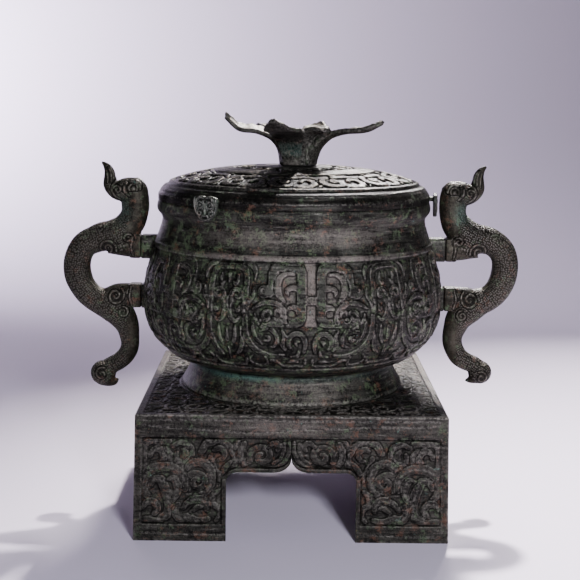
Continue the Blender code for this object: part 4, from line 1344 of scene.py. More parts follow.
        # Each unit of the belt mirrors its own half, and drifts a little from its neighbours.
        period = 360.0 / self.units
        wrapped = (angle + 0.5 * period) % period - 0.5 * period
        unit = np.floor((angle + 0.5 * period) / period)
        u = np.radians(wrapped) * self.widest
        across = np.abs(u)
        drift = np.column_stack([np.sin(unit * 2.1 + z / 19.0), np.sin(unit * 1.3 + u / 17.0)])
        points = np.column_stack([u, z]) + 0.5 * drift
        points[:, 0] = np.abs(points[:, 0])
        on = np.nonzero(outside & (z > self.band_low - 1.0) & (z < self.band_high + 1.0))[0]
        border = np.maximum(z[on] - self.band_high + 0.4, self.band_low + 1.2 - z[on])
        depth = np.maximum(border, np.minimum(self.belt().inset(points[on]), -border - 1.2))
        inset = np.full(len(place), BARE)
        inset[on] = depth
        moved = place.copy()
        moved[on] += normal[on] * lift_of(depth, self.relief, 0.4)[:, None]
        neck = outside & (z > self.band_high + 3.9)
        for n, (level, sink) in enumerate(self.neck_lines):
            wave = 0.7 * np.sin(turn * (3.0 + n) + n) + 0.35 * np.sin(turn * (11.0 + n) + 2.0 * n)
            dent = sink * (0.6 + 0.4 * np.sin(turn * 5.0 + n)) * bell(z, level + wave, 0.75)
            moved[neck] -= normal[neck] * dent[neck, None] * MM
        place_vertices(piece, moved)

        # Bloom lies in the T's slot, under the neck, in the frames' fields and on the foot, all towards the front.
        slot = outside & (across < 4.4) & (z > 166.0) & (z < self.band_high)
        field = outside & (across > 10.6) & (across < 26.4) & (z > 171.5) & (z < 205.5)
        collar = outside & (z > self.band_high) & (z < self.band_high + 4.0)
        front = rise(np.cos(np.radians(angle + 6.0)), 0.72, 0.95)
        dust = np.where(slot, 0.8, np.where(collar, 0.6, np.where(field, 0.4, 0.0))) * (0.15 + 0.85 * front)
        dust = np.maximum(dust, 0.4 * front * rise(z, 219.0, 226.0) * (1.0 - rise(z, 231.0, 238.0)) * outside)
        foot = (radius > 82.0) * (radius < 92.0) * (1.0 - rise(z, 112.0, 116.0))
        dust = np.maximum(dust, 0.35 * front * foot)

        # Water stood above the foot, most at the left, and the foot's lower edge is rubbed.
        ledge = bell(z, 116.8, 2.2) * (radius > 82.5) * (radius < 92.0)
        left = rise(-place[:, 0] / MM, 0.0, 45.0)
        edge = 0.35 * foot * bell(z, 99.0, 1.2)
        surface_values(piece, inset=inset, wear=edge, dust=dust, verdigris=ledge * (0.12 + 0.6 * left))

    def lug(self, side: float, level: float, half: float) -> bpy.types.Object:
        """Make a lug, a softened bar.

        Args:
            side: -1 on the left and 1 on the right.
            level: Height of its middle.
            half: Half its height.

        Returns:
            The lug.
        """
        middle = (side * 0.5 * (self.lug_face + self.lug_root), 0.0, level)
        made = bar(middle, (self.lug_face - self.lug_root, 2.0 * self.lug_half, 2.0 * half), 0.9)
        surface_values(made, inset=BARE, wear=0.0, dust=0.0, verdigris=0.0)
        return made

    def shape(self) -> bpy.types.Object:
        """Turn and carve the bowl, and add its lugs.

        Returns:
            The bowl.
        """
        piece = turned(self.section(), self.steps)
        self.carve(piece)
        return joined([piece, *[self.lug(side, *lug) for lug in self.lugs for side in (-1.0, 1.0)]])


@dataclass
class Lid(Piece):
    """The domed lid, with a wide ring of running scrolls and a narrow one inside it."""

    node: str = "lid"
    slot: str = "dark_bronze"
    sharp: float = 60.0
    steps: int = 620
    base: float = 249.3
    shoulder: float = 14.9
    dome: float = 12.6
    dome_radius: float = 101.8
    edge_radius: float = 101.2
    wall: float = 2.9
    relief: float = 1.7
    # Middle, half width, number of units and size of each ring.
    rings: tuple[tuple[float, float, int, float], ...] = ((82.0, 16.4, 14, 1.0), (40.0, 9.0, 10, 0.56))
    grooves: tuple[float, ...] = (52.0, 57.0, 62.5)
    rim_lines: tuple[float, ...] = (252.0, 256.6, 259.2, 261.2)

    def dome_at(self, radius: np.ndarray | float) -> np.ndarray | float:
        """Height of the outer dome at a radius."""
        return self.base + self.shoulder + self.dome * (1.0 - (radius / self.dome_radius) ** 3)

    def section(self) -> list[Point]:
        """Draw the lid's half section, from under its crown down over the rim.

        Returns:
            The section's points in metres.
        """
        inside = [(r, self.dome_at(r) - self.wall) for r in (0.0, 25.0, 50.0, 70.0, 85.0, 94.0)]
        inside += [(99.5, 259.6), (103.4, 255.6), (104.4, 253.0), (104.4, self.base)]
        rim = [(110.4, self.base), (110.5, 250.0), (110.5, 253.8), (109.9, 254.9), (107.9, 258.5), (105.6, 260.8)]
        rim += [(103.4, 261.6), (102.0, 262.4), (101.5, 263.6), (self.edge_radius, self.dome_at(self.edge_radius))]
        outer = [(r, self.dome_at(r)) for r in np.linspace(self.edge_radius, 62.0, 20)]
        middle = [(r, self.dome_at(r)) for r in np.linspace(62.0, 0.0, 20)]
        return run((inside, 7.0), ([inside[-1], rim[0]], 2.0), (rim, 0.75), (outer, 1.12), (middle, 1.3))

    def unit(self) -> list[Stroke]:
        """Draw one unit of the wide ring: a round head in a hook, and an answering wave.

        Returns:
            Its strokes, from the unit's middle.
        """
        return [
            scroll([(16.0, 13.6), (18.4, 8.0), (22.6, 5.0)], [2.0, 4.4, 1.6]),
            scroll(
                [(1.4, 13.4), (8.4, 12.8), (13.4, 7.4), (12.4, 0.4), (6.8, -1.6), (4.2, 2.8)], [3.0, 5.6, 5.4, 4.6, 3.0]
            ),
            scroll([(-4.0, -14.2), (4.0, -14.2), (12.0, -12.8)], [2.0, 3.8, 1.8]),
            coil((-7.6, 1.4), (10.4, 8.6), (60.0, 285.0), [3.0, 5.8, 6.0, 5.2]),
            scroll([(-5.0, -7.4), (2.6, -8.8), (10.6, -8.0), (16.4, -2.0)], [5.2, 5.6, 4.6, 1.8]),
            dot((-7.4, 1.6), 4.1),
            dot((-7.4, 1.6), 0.9, Mode.CUT),
        ]

    def carve(self, piece: bpy.types.Object) -> None:
        """Sink the ground of the rings.

        Args:
            piece: The turned lid.
        """
        place = positions(piece)
        radius = np.hypot(place[:, 0], place[:, 1]) / MM
        z = place[:, 2] / MM
        angle = np.arctan2(place[:, 1], place[:, 0]) % math.tau
        on_dome = (np.abs(z - self.dome_at(radius)) < 0.6) & (radius < self.edge_radius + 0.1)
        inset = np.full(len(place), BARE)
        unit = self.unit()
        for middle, half, units, size in self.rings:
            on = np.nonzero(on_dome & (np.abs(radius - middle) < half + 3.0))[0]
            period = math.tau * middle / units
            u = (angle[on] * middle) % period - 0.5 * period
            # Ribbons that cross from one unit to the next keep one order, so the seam doesn't show.
            strokes = [stroke.moved(0.0, size, (shift, 0.0)) for stroke in unit for shift in (-period, 0.0, period)]
            depth = Carving(strokes, gap=1.7 * size**0.5).inset(np.column_stack([u, radius[on] - middle]))
            border = np.abs(radius[on] - middle) - half
            inset[on] = np.maximum(border, np.minimum(depth, -border - 1.3))
        place[:, 2] += np.where(on_dome, lift_of(inset, self.relief, 0.1), 0.0)
        for level in self.grooves:
            place[:, 2] -= 0.5 * bell(radius, level, 1.1) * on_dome * MM
        on_rim = (radius > 100.5) & (z > self.base + 1.0) & ~on_dome
        for n, level in enumerate(self.rim_lines):
            wave = 0.45 * np.sin(angle * (4.0 + n) + 1.7 * n) + 0.3 * np.sin(angle * (13.0 + 2.0 * n) + n)
            dent = 0.38 * (0.5 + 0.5 * np.sin(angle * (3.0 + n))) * bell(z, level + wave, 0.55) * on_rim
            place[:, 0] -= np.cos(angle) * dent * MM
            place[:, 1] -= np.sin(angle) * dent * MM
        place_vertices(piece, place)
        wear = 0.25 * bell(radius, 101.0, 0.9) * (z > 262.5)
        wear = np.maximum(wear, 0.25 * bell(z, 254.2, 0.6) * (radius > 109.0))
        ground = on_dome & (inset < -2.0)
        polished = 0.10 * on_dome * (inset > 0.3) + 0.03 * ground
        # The ground shows as bare, so the rims' painted highlight also runs along the ground's side of each edge.
        shown = np.where(ground, BARE, inset)
        surface_values(piece, inset=shown, wear=np.maximum(wear, polished), dust=0.0, verdigris=0.0)

    def shape(self) -> bpy.types.Object:
        """Turn and carve the lid.

        Returns:
            The lid.
        """
        piece = turned(self.section(), self.steps)
        self.carve(piece)
        return piece


@dataclass
class Crown(Piece):
    """Long petals that open from a short stem on the lid."""

    node: str = "lid_crown"
    slot: str = "worn_bronze"
    sharp: float = 70.0
    offset: float = 2.8
    base: float = 277.1
    stem_radius: float = 14.6
    stem_height: float = 6.0
    root_radius: float = 10.8
    thickness: float = 3.6
    bend: float = 23.0
    cells: tuple[int, int] = (60, 16)
    voxel: float = 0.0008
    rounds: int = 4
    # Bearing, reach, height of the tip, breadth, sideways tilt and raggedness of each petal.
    petals: tuple[tuple[float, ...], ...] = (
        (255.5, 80.0, 36.5, 1.40, 0.0, 0.5),
        (300.0, 42.0, 29.0, 1.00, 0.4, 0.3),
        (330.0, 75.5, 35.7, 1.00, 0.3, 0.4),
        (55.0, 35.0, 33.5, 1.05, 0.0, 0.6),
        (116.0, 78.0, 29.0, 1.00, 0.0, 0.6),
        (186.0, 59.0, 39.0, 1.00, -1.9, 1.0),
    )
    # A petal's line: share of its reach, height in bends, and width.
    line: tuple[Station, ...] = (
        (0.0, -0.02, 17.4), (0.03, 0.30, 17.2), (0.11, 0.66, 16.6), (0.26, 1.0, 19.4), (0.50, 1.20, 20.0),
        (0.78, 1.28, 15.6), (1.0, 0.0, 2.4),
    )

    def petal(
        self, bearing: float, reach: float, tip: float, breadth: float, tilt: float, ragged: float
    ) -> bpy.types.Object:
        """Bend a sheet into one petal and give it its thickness.

        Args:
            bearing: Its direction in degrees.
            reach: How far its tip reaches from the axis.
            tip: Height of its tip above the crown's foot.
            breadth: Its width beside the others'.
            tilt: How much its left edge rises above its middle.
            ragged: How uneven its edges are, in millimetres.

        Returns:
            The petal.
        """
        made = grid(*self.cells)[0]
        last = len(self.line) - 1
        stations = [(out, up if i < last else tip / self.bend, w) for i, (out, up, w) in enumerate(self.line)]
        curve = smooth_path(stations, 12)
        flat = positions(made)
        share = (flat[:, 0] + 0.5) * (len(curve) - 1)
        at = [np.interp(share, np.arange(len(curve)), curve[:, n]) for n in range(3)]
        opened = rise(share, 20.0, 40.0)
        side = 2.0 * flat[:, 1]
        out = self.root_radius + (reach - self.root_radius) * at[0]
        uneven = np.sin(share * 0.83 + bearing) + 0.6 * np.sin(share * 1.9 + 2.0 * bearing)
        half = 0.5 * at[2] * (1.0 + (breadth - 1.0) * rise(share, 4.0, 30.0)) + 0.5 * ragged * uneven * opened
        across = half * side
        hollow = 1.6 * side**2 * rise(share, 14.0, 34.0) + tilt * side * opened
        torn = 0.5 * ragged * uneven * opened * np.maximum(side * np.sign(tilt + 0.01), 0.0)
        up = self.base + self.bend * at[1] + hollow + torn
        out += 2.2 * (1.0 - side**2) * (1.0 - rise(share, 6.0, 26.0))
        a = math.radians(bearing)
        x = self.offset + out * math.cos(a) - across * math.sin(a)
        y = out * math.sin(a) + across * math.cos(a)
        place_vertices(made, np.column_stack([x, y, up]) * MM)
        applied(made, "SOLIDIFY", thickness=self.thickness * MM, offset=0.0)
        return made

    def shape(self) -> bpy.types.Object:
        """Melt the petals and their stem together, and dress them.

        Returns:
            The crown.
        """
        middle = (self.offset * MM, 0.0, (self.base + 0.5 * self.stem_height) * MM)
        size = {"radius": self.stem_radius * MM, "depth": self.stem_height * MM}
        stem = primitive(bpy.ops.mesh.primitive_cylinder_add, vertices=64, location=middle, **size)
        piece = joined([stem, *[self.petal(*petal) for petal in self.petals]])
        with editing(piece):
            foot = {"plane_co": (0.0, 0.0, self.base * MM), "plane_no": (0.0, 0.0, 1.0)}
            bpy.ops.mesh.bisect(**foot, clear_inner=True, use_fill=True)
        melt(piece, self.voxel, self.rounds)
        self.dress(piece)
        return piece

    def dress(self, piece: bpy.types.Object) -> None:
        """Chase fine lines along the petals, mark where they are rubbed, dusty and green, and paint a highlight on
        their tops and under one petal.

        Args:
            piece: The melted form.
        """
        place = positions(piece)
        place[:, 2] = np.maximum(place[:, 2], (self.base + 0.02) * MM)
        x, y, z = place[:, 0] / MM - self.offset, place[:, 1] / MM, place[:, 2] / MM - self.base
        bearing = np.degrees(np.arctan2(y, x)) % 360.0
        angles = np.array([petal[0] for petal in self.petals])
        near = (bearing[:, None] - angles[None] + 180.0) % 360.0 - 180.0
        which = np.abs(near).argmin(axis=1)
        nearest = near[np.arange(len(near)), which]
        radius = np.hypot(x, y)
        lateral = radius * np.sin(np.radians(nearest))
        normal = positions(piece, "normal")
        under = rise(-normal[:, 2], -0.2, 0.4)
        veins = 0.2 * np.sin(lateral * math.tau / 2.0 + 0.6 * np.sin(radius / 5.0)) * rise(z, 3.0, 8.0)
        veins *= np.maximum(under, 0.3)
        place += normal * veins[:, None] * MM
        place_vertices(piece, place)
        inset = 1.9 - 1.7 * rise(-veins, 0.04, 0.18)
        top = rise(normal[:, 2], 0.25, 0.8)
        left = rise(-x, 8.0, 30.0)
        facing = rise(-normal[:, 1], 0.2, 0.7) * (which == 0) * (radius < 26.0)
        foot = facing * (1.0 - rise(z, 3.0, 7.0))
        green = facing * rise(z, 6.0, 10.0) * (1.0 - rise(z, 16.0, 22.0))
        # Painted highlight: faces turned up, most towards the left, and the second petal's underside are lightened,
        # over a little real rubbing everywhere.
        wear_and_highlight = 0.12 + 0.45 * top * (0.2 + 0.8 * left) + 0.3 * under * (which == 1)
        surface_values(piece, inset=inset, wear=wear_and_highlight, dust=foot * 0.45, verdigris=green * 0.3)


@dataclass
class Clasp(Piece):
    """A small shield with a beast mask, held off the lip by an arm."""

    name: str
    bearing: float
    sag: float
    width: float = 22.0
    height: float = 19.0
    drop: float = 9.8
    thickness: float = 3.0
    distance: float = 114.9
    rim: float = 110.2
    base: float = 249.3
    voxel: float = 0.00042
    rounds: int = 3
    slot: str = "worn_bronze"
    sharp: float = 70.0

    @property
    def node(self) -> str:
        """The solid that it stands for."""
        return f"clasp_{self.name}"

    def mask(self) -> Carving:
        """Draw the mask's right half, from the shield's middle and its foot.

        Returns:
            The carving.
        """
        return Carving(
            [
                scroll([(10.1, 17.6), (10.2, 11.4), (8.0, 5.8), (4.0, 2.0), (0.0, 1.0)], [1.0, 1.3, 1.2]),
                scroll([(1.3, 17.4), (4.0, 18.2), (6.4, 16.8), (6.9, 14.8)], [1.2, 2.0, 1.6, 0.9]),
                scroll([(8.2, 16.6), (8.6, 13.0), (7.6, 9.4)], [0.9, 1.4, 0.9]),
                coil((4.7, 12.2), (2.5, 2.5), (0.0, 360.0), [1.1, 1.1]),
                dot((4.7, 12.2), 1.0),
                scroll([(1.9, 15.2), (1.6, 11.6), (2.3, 8.6)], [0.9, 1.2, 0.9]),
                coil((5.2, 6.4), (2.5, 0.7), (60.0, -300.0), [1.1, 1.2, 1.0]),
                scroll([(0.0, 13.6), (0.0, 9.6), (0.0, 6.0)], [1.0, 1.5, 2.6]),
                scroll([(0.5, 4.2), (2.2, 4.4), (3.0, 2.8)], [1.0, 1.2, 0.8]),
            ],
            gap=0.55,
            reach=3.0,
        )

    def plate(self, foot: float) -> bpy.types.Object:
        """Make the shield: round below, with shoulders and a notch above.

        Args:
            foot: Height of its lowest point.

        Returns:
            The shield, standing on the axis.
        """
        half = 0.5 * self.width
        shoulder = foot + 0.70 * self.height
        made = primitive(bpy.ops.mesh.primitive_circle_add, vertices=96, radius=1.0, fill_type="NGON")
        around = positions(made)
        above = around[:, 1] > 0.0
        turn = np.arctan2(around[:, 1], around[:, 0])
        sine, cosine = np.sin(turn), np.cos(turn)
        arch = shoulder + (foot + self.height - shoulder) * np.minimum(1.0, np.abs(sine) ** 0.35)
        z = np.where(around[:, 1] < 0.0, shoulder + (shoulder - foot) * sine, arch)
        x = np.where(above, half * np.sign(cosine) * np.abs(cosine) ** 0.75, half * cosine)
        z -= 0.9 * bell(x, 0.0, 1.4) * above
        place_vertices(made, np.column_stack([x, np.full(len(x), -0.5 * self.thickness), z]) * MM)
        with editing(made):
            bpy.ops.mesh.extrude_region_move(TRANSFORM_OT_translate={"value": (0.0, self.thickness * MM, 0.0)})
            bpy.ops.mesh.select_all(action="SELECT")
            bpy.ops.mesh.normals_make_consistent(inside=False)
        return made

    def shape(self) -> bpy.types.Object:
        """Melt shield and arm together, carve the mask and swing the clasp to its bearing.

        Returns:
            The clasp.
        """
        foot = -self.drop - self.sag
        reach = self.distance - self.rim
        piece = joined([self.plate(foot), bar((0.0, 0.5 * reach, 2.4), (12.0, reach, 3.4))])
        melt(piece, self.voxel, self.rounds)
        place = positions(piece) / MM
        front = positions(piece, "normal")[:, 1] < -0.6
        inset = np.full(len(place), BARE)
        local = np.column_stack([np.abs(place[:, 0]), place[:, 2] - foot])
        inset[front] = self.mask().inset(local[front])
        cheek = 0.6 * bell(local[:, 0], 5.0, 3.4) * bell(local[:, 1], 12.6, 3.6)
        snout = 0.8 * bell(local[:, 0], 0.0, 2.6) * bell(local[:, 1], 6.0, 5.0)
        sink = 0.55 * (1.0 - rise(inset, -0.35, 0.3))
        place[:, 1] -= np.where(front, np.maximum(cheek, snout) - sink, 0.0)
        place_vertices(piece, place * MM)
        swing = Matrix.Rotation(math.radians(self.bearing), 4, "Z")
        piece.data.transform(swing @ Matrix.Translation((0.0, -self.distance * MM, self.base * MM)))
        surface_values(piece, inset=inset, wear=np.where(front, 0.12, 0.0), dust=0.0, verdigris=0.1)
        return piece


@dataclass
class DragonHandle(Piece):
    """A dragon whose scaly body bends round the hand, with an upturned snout and a curled tail."""

    side: str
    mirror: float
    spine: tuple[Station, ...]
    beak: tuple[Station, ...]
    # Distance from the axis, height and radius of the swelling where the tail curls.
    knob: Point3
    flatness: float = 0.78
    face: float = 124.8
    head: tuple[Station, ...] = (
        (122.4, 257.6, 2.6), (125.6, 257.0, 6.2), (131.0, 255.8, 9.0), (137.6, 255.0, 9.8), (144.2, 255.4, 8.6),
        (149.2, 259.0, 6.7), (150.2, 264.6, 5.2), (150.6, 269.6, 4.3), (152.8, 274.2, 3.0), (157.0, 277.9, 0.8),
    )
    crest: tuple[Station, ...] = (
        (141.4, 258.8, 4.8), (136.0, 260.4, 4.9), (130.0, 260.6, 4.5), (125.0, 259.2, 3.6), (121.4, 257.6, 2.0),
    )
    # Height, half height and reach of the arms that meet the lugs.
    arms: tuple[Point3, ...] = ((209.1, 9.5, 134.0), (168.3, 9.75, 135.0))
    arm_half: float = 7.0
    joint_top: float = 222.0
    voxel: float = 0.00075
    rounds: int = 5
    slot: str = "worn_bronze"
    sharp: float = 75.0
    limbs: tuple[tuple[Station, ...], ...] = (
        ((127.0, 209.1, 9.4), (133.0, 209.4, 9.6), (139.0, 210.4, 10.0), (145.0, 212.0, 10.6), (150.0, 213.2, 11.0)),
        ((127.0, 168.3, 9.6), (133.0, 168.3, 9.8), (138.5, 168.0, 10.2), (144.0, 166.8, 11.0), (149.0, 164.0, 11.6)),
    )

    @property
    def node(self) -> str:
        """The solid that it stands for."""
        return f"handle_{self.side}"

    def tube(self, stations: Sequence[Station]) -> bpy.types.Object:
        """Sweep a round section along stations.

        Args:
            stations: Distance from the axis, height and half width, in millimetres.

        Returns:
            The tube as a mesh.
        """
        path = smooth_path(stations, 5)
        curve = bpy.data.curves.new("tube", "CURVE")
        curve.dimensions = "3D"
        curve.bevel_depth = 1.0
        curve.bevel_resolution = 8
        curve.use_fill_caps = True
        line = curve.splines.new("POLY")
        line.points.add(len(path) - 1)
        for point, (x, z, half) in zip(line.points, path):
            point.co = (x * MM, 0.0, z * MM, 1.0)
            point.radius = max(half, 0.3) * MM
        made = bpy.data.objects.new("tube", curve)
        bpy.context.collection.objects.link(made)
        select(made)
        bpy.ops.object.convert(target="MESH")
        return bpy.context.object

    def ball(self, x: float, z: float, radius: float) -> bpy.types.Object:
        """Make a round swelling of the body."""
        size = {"segments": 32, "ring_count": 16, "radius": radius * MM}
        return primitive(bpy.ops.mesh.primitive_uv_sphere_add, location=(x * MM, 0.0, z * MM), **size)

    def carving(self) -> Carving:
        """Draw the chased lines on the flanks, as seen from the front.

        Returns:
            The carving.
        """
        return Carving(
            [
                coil((152.0, 207.6), (7.6, 1.2), (200.0, -400.0), [1.0, 1.5, 1.4, 1.0]),
                coil((145.6, 168.6), (7.6, 1.2), (130.0, 700.0), [1.0, 1.5, 1.4, 1.0]),
                coil((135.0, 216.0), (4.6, 1.0), (250.0, -260.0), [0.9, 1.3, 0.9]),
                coil((139.4, 155.0), (4.6, 1.0), (90.0, 600.0), [0.9, 1.3, 0.9]),
                scroll([(132.6, 160.6), (134.2, 168.4), (132.8, 176.4)], [0.9, 1.4, 0.9]),
                scroll([(131.2, 201.6), (132.6, 209.4), (131.4, 217.2)], [0.9, 1.4, 0.9]),
                scroll([(134.2, 262.8), (129.2, 263.0), (125.2, 260.2), (124.6, 256.4)], [1.2, 2.4, 2.4, 1.2]),
                coil((130.6, 257.2), (3.6, 3.6), (-30.0, 210.0), [1.3, 1.3]),
                dot((130.6, 256.8), 1.9),
                scroll([(133.6, 250.6), (137.6, 254.4), (138.0, 259.4)], [1.0, 1.6, 1.0]),
                scroll(
                    [(141.6, 262.8), (146.6, 260.6), (148.4, 255.4), (146.0, 250.6), (141.0, 247.6)],
                    [0.8, 1.2, 1.3, 0.8],
                ),
                coil((143.6, 255.6), (3.6, 0.9), (20.0, 420.0), [0.9, 1.2, 0.9]),
                scroll([(148.8, 262.6), (148.8, 268.0), (151.0, 273.8)], [0.8, 1.1, 0.7]),
                scroll([(151.9, 261.0), (152.0, 267.0), (153.2, 271.6)], [0.8, 1.1, 0.7]),
                scroll([(146.6, 264.2), (146.9, 268.6), (149.4, 273.4)], [0.8, 1.0, 0.7]),
                coil((158.0, 102.6), (5.6, 1.0), (120.0, -340.0), [1.0, 1.3, 1.0]),
            ],
            gap=0.7,
            reach=3.0,
        )

    def shape(self) -> bpy.types.Object:
        """Melt body, head and arms together, flatten them and dress them.

        Returns:
            The handle.
        """
        forms = [self.tube(stations) for stations in (self.spine, self.beak, self.head, self.crest, *self.limbs)]
        forms.append(self.ball(*self.knob))
        for level, half, reach in self.arms:
            size = (reach - self.face, 2.0 * self.arm_half / self.flatness, 2.0 * half)
            forms.append(bar((0.5 * (self.face + reach), 0.0, level), size, 0.8))
        piece = joined(forms)
        with editing(piece):
            bpy.ops.transform.resize(value=(1.0, self.flatness, 1.0), center_override=(0.0, 0.0, 0.0))
        melt(piece, self.voxel, self.rounds)
        self.dress(piece)
        return piece

    def dress(self, piece: bpy.types.Object) -> None:
        """Chase the lines, lay out the scales and mirror the handle to its side.

        Args:
            piece: The melted form.
        """
        place = positions(piece) / MM
        normal = positions(piece, "normal")
        flat = place[:, [0, 2]]

        # The scales follow the spine: how far along it a point lies, and how far round the body.
        path = smooth_path(self.spine, 8)
        length = np.concatenate([[0.0], np.cumsum(np.linalg.norm(np.diff(path[:, :2], axis=0), axis=1))])
        nearest = np.empty(len(place), dtype=int)
        for part in np.array_split(np.arange(len(place)), 12):
            nearest[part] = ((flat[part, None] - path[None, :, :2]) ** 2).sum(axis=2).argmin(axis=1)
        ahead = path[np.minimum(nearest + 1, len(path) - 1), :2] - path[np.maximum(nearest - 1, 0), :2]
        ahead /= np.linalg.norm(ahead, axis=1)[:, None]
        offset = flat - path[nearest, :2]
        outward = ahead[:, 1] * -offset[:, 0] + ahead[:, 0] * offset[:, 1]
        turn = np.arctan2(place[:, 1] / self.flatness, outward)
        along = length[nearest] + (offset * ahead).sum(axis=1)
        scale_place = np.column_stack([along, turn * path[nearest, 2] * 0.9, np.zeros(len(place))])

        # Chased lines sink on the flanks. The joint's face stays flat.
        inset = np.where(np.abs(normal[:, 1]) > 0.25, self.carving().inset(flat), -3.0)
        lift = 0.30 * rise(inset, -0.2, 0.5) - 0.30 * bell(inset, -0.45, 0.42)
        bare = (np.abs(turn) > 2.6) | (place[:, 2] > 245.0)
        scaly = np.where(bare, 0.0, 1.0) * (1.0 - rise(inset, -1.6, -0.6)) * rise(place[:, 0] - self.face, 8.0, 14.0)
        at_joint = (place[:, 0] < self.face + 0.6) & (place[:, 2] < self.joint_top)
        place += np.where(at_joint, 0.0, lift)[:, None] * normal
        joint = place[:, 2] < self.joint_top
        place[joint, 0] = np.maximum(place[joint, 0], self.face)
        place[:, 0] *= self.mirror
        place_vertices(piece, place * MM)
        if self.mirror < 0.0:
            piece.data.flip_normals()
        # Raised lines show part of the rims' painted highlight, the cut beside them keeps some soil, and the rest is
        # bare.
        shown = np.where(inset > -1.4, np.where(inset > 0.0, 0.16, 0.5 * inset), 1.9)
        neck = 0.34 * bell(flat[:, 0], 139.0, 6.0) * bell(flat[:, 1], 239.0, 9.0)
        rubbed = 0.5 * bell(flat[:, 0], 130.0, 7.0) * bell(flat[:, 1], 263.5, 3.0)
        surface_values(piece, inset=shown, wear=rubbed, dust=0.0, verdigris=neck, scaly=scaly, scale_place=scale_place)


@dataclass(frozen=True)
class Lamp:
    """A soft rectangular lamp: metres, watts, and the angle in degrees that its beam opens to."""

    name: str
    place: Point3
    target: Point3
    size: Point
    power: float
    tint: str
    spread: float = 180.0

    def hang(self) -> None:
        """Hang the lamp in the studio."""
        light = bpy.data.lights.new(self.name, "AREA")
        light.spread = math.radians(self.spread)
        light.shape = "RECTANGLE"
        light.size, light.size_y = self.size
        light.energy = self.power
        light.color = linear(self.tint)[:3]
        made = bpy.data.objects.new(self.name, light)
        made.location = self.place
        made.rotation_euler = (Vector(self.target) - Vector(self.place)).to_track_quat("-Z", "Y").to_euler()
        bpy.context.scene.collection.objects.link(made)


@dataclass
class Studio:
    """Seamless pale table, soft lamps and the camera."""

    front: float = -2.4
    back: float = 0.9
    bend: float = 1.6
    half: float = 4.0
    turns: int = 24
    air: float = 0.03
    air_seen: float = 0.6
    lamps: tuple[Lamp, ...] = (
        Lamp("front_right", (0.3, -1.25, 0.56), (0.0, 0.0, 0.1), (0.16, 0.18), 23.2, "#f1f4ff"),
        Lamp("above_back", (0.28, 0.95, 1.5), (0.5, -0.4, 0.0), (0.07, 0.07), 25.5, "#fffafc", 66.0),
        Lamp("back_right", (0.3, 1.13, 0.98), (0.04, -0.05, 0.27), (0.3, 0.24), 3.1, "#fffaf8", 40.0),
        Lamp("left", (-1.5, -0.8, 0.7), (0.0, 0.0, 0.15), (0.8, 1.2), 0.8, "#f6f4ff", 90.0),
        Lamp("wall", (-1.35, 1.3, 0.95), (-1.05, 2.05, 0.25), (0.4, 0.4), 80.0, "#f6f0ff", 144.0),
        Lamp("over", (0.1, 1.0, 1.6), (0.1, 0.85, 0.0), (1.3, 0.5), 3.0, "#f8f4ff", 70.0),
    )
    lens: float = 76.05
    place: Point3 = (-0.0066, -1.0022, 0.3318)
    pitch: float = 8.958
    yaw: float = 0.25
    roll: float = 0.728
    floor_colour: str = "#d0c6d7"

    def backdrop(self) -> None:
        """Sweep the floor up into a wall behind the vessel."""
        path = [(-self.half, self.front, 0.0), (-self.half, self.back, 0.0)]
        for i in range(1, self.turns + 1):
            a = 0.5 * math.pi * i / self.turns
            path.append((-self.half, self.back + self.bend * math.sin(a), self.bend * (1.0 - math.cos(a))))
        path.append((-self.half, self.back + self.bend, 4.0))
        sheet = drawn(path)
        with editing(sheet):
            bpy.ops.mesh.extrude_region_move(TRANSFORM_OT_translate={"value": (2.0 * self.half, 0.0, 0.0)})
            bpy.ops.mesh.select_all(action="SELECT")
            bpy.ops.mesh.normals_make_consistent(inside=False)
        bpy.ops.object.shade_smooth()
        paper = bpy.data.materials.new("matt_paper")
        paper.use_nodes = True
        shader = paper.node_tree.nodes["Principled BSDF"]
        shader.inputs["Base Color"].default_value = linear(self.floor_colour)
        shader.inputs["Roughness"].default_value = 0.85
        sheet.data.materials.append(paper)

    def camera(self) -> None:
        """Set the camera up as the photograph was taken."""
        data = bpy.data.cameras.new("camera")
        data.lens = self.lens
        data.sensor_width = 36.0
        data.clip_end = 20.0
        made = bpy.data.objects.new("camera", data)
        p, y, r = (math.radians(angle) for angle in (self.pitch, self.yaw, self.roll))
        ahead = Vector((math.sin(y) * math.cos(p), math.cos(y) * math.cos(p), -math.sin(p)))
        level = Vector((math.cos(y), -math.sin(y), 0.0))
        right = math.cos(r) * level + math.sin(r) * level.cross(ahead)
        up = right.cross(ahead)
        made.matrix_world = Matrix.Translation(self.place) @ Matrix((right, up, -ahead)).transposed().to_4x4()
        bpy.context.scene.collection.objects.link(made)
        bpy.context.scene.camera = made

    def build(self) -> None:
        """Set up the whole studio, with its air."""
        self.backdrop()
        for lamp in self.lamps:
            lamp.hang()
        world = bpy.data.worlds.new("studio_air")
        world.use_nodes = True
        # The air gives hardly any light, but past the table's edge it looks as pale as the paper.
        air = world.node_tree.nodes["Background"]
        air.inputs["Color"].default_value = linear("#c9c6d2")
        seen = add_node(world.node_tree, "LightPath", output="Is Camera Ray")
        limits = {"Value": seen, "To Min": self.air, "To Max": self.air_seen}
        world.node_tree.links.new(add_node(world.node_tree, "MapRange", limits), air.inputs["Strength"])
        bpy.context.scene.world = world
        self.camera()
        log.info("studio")


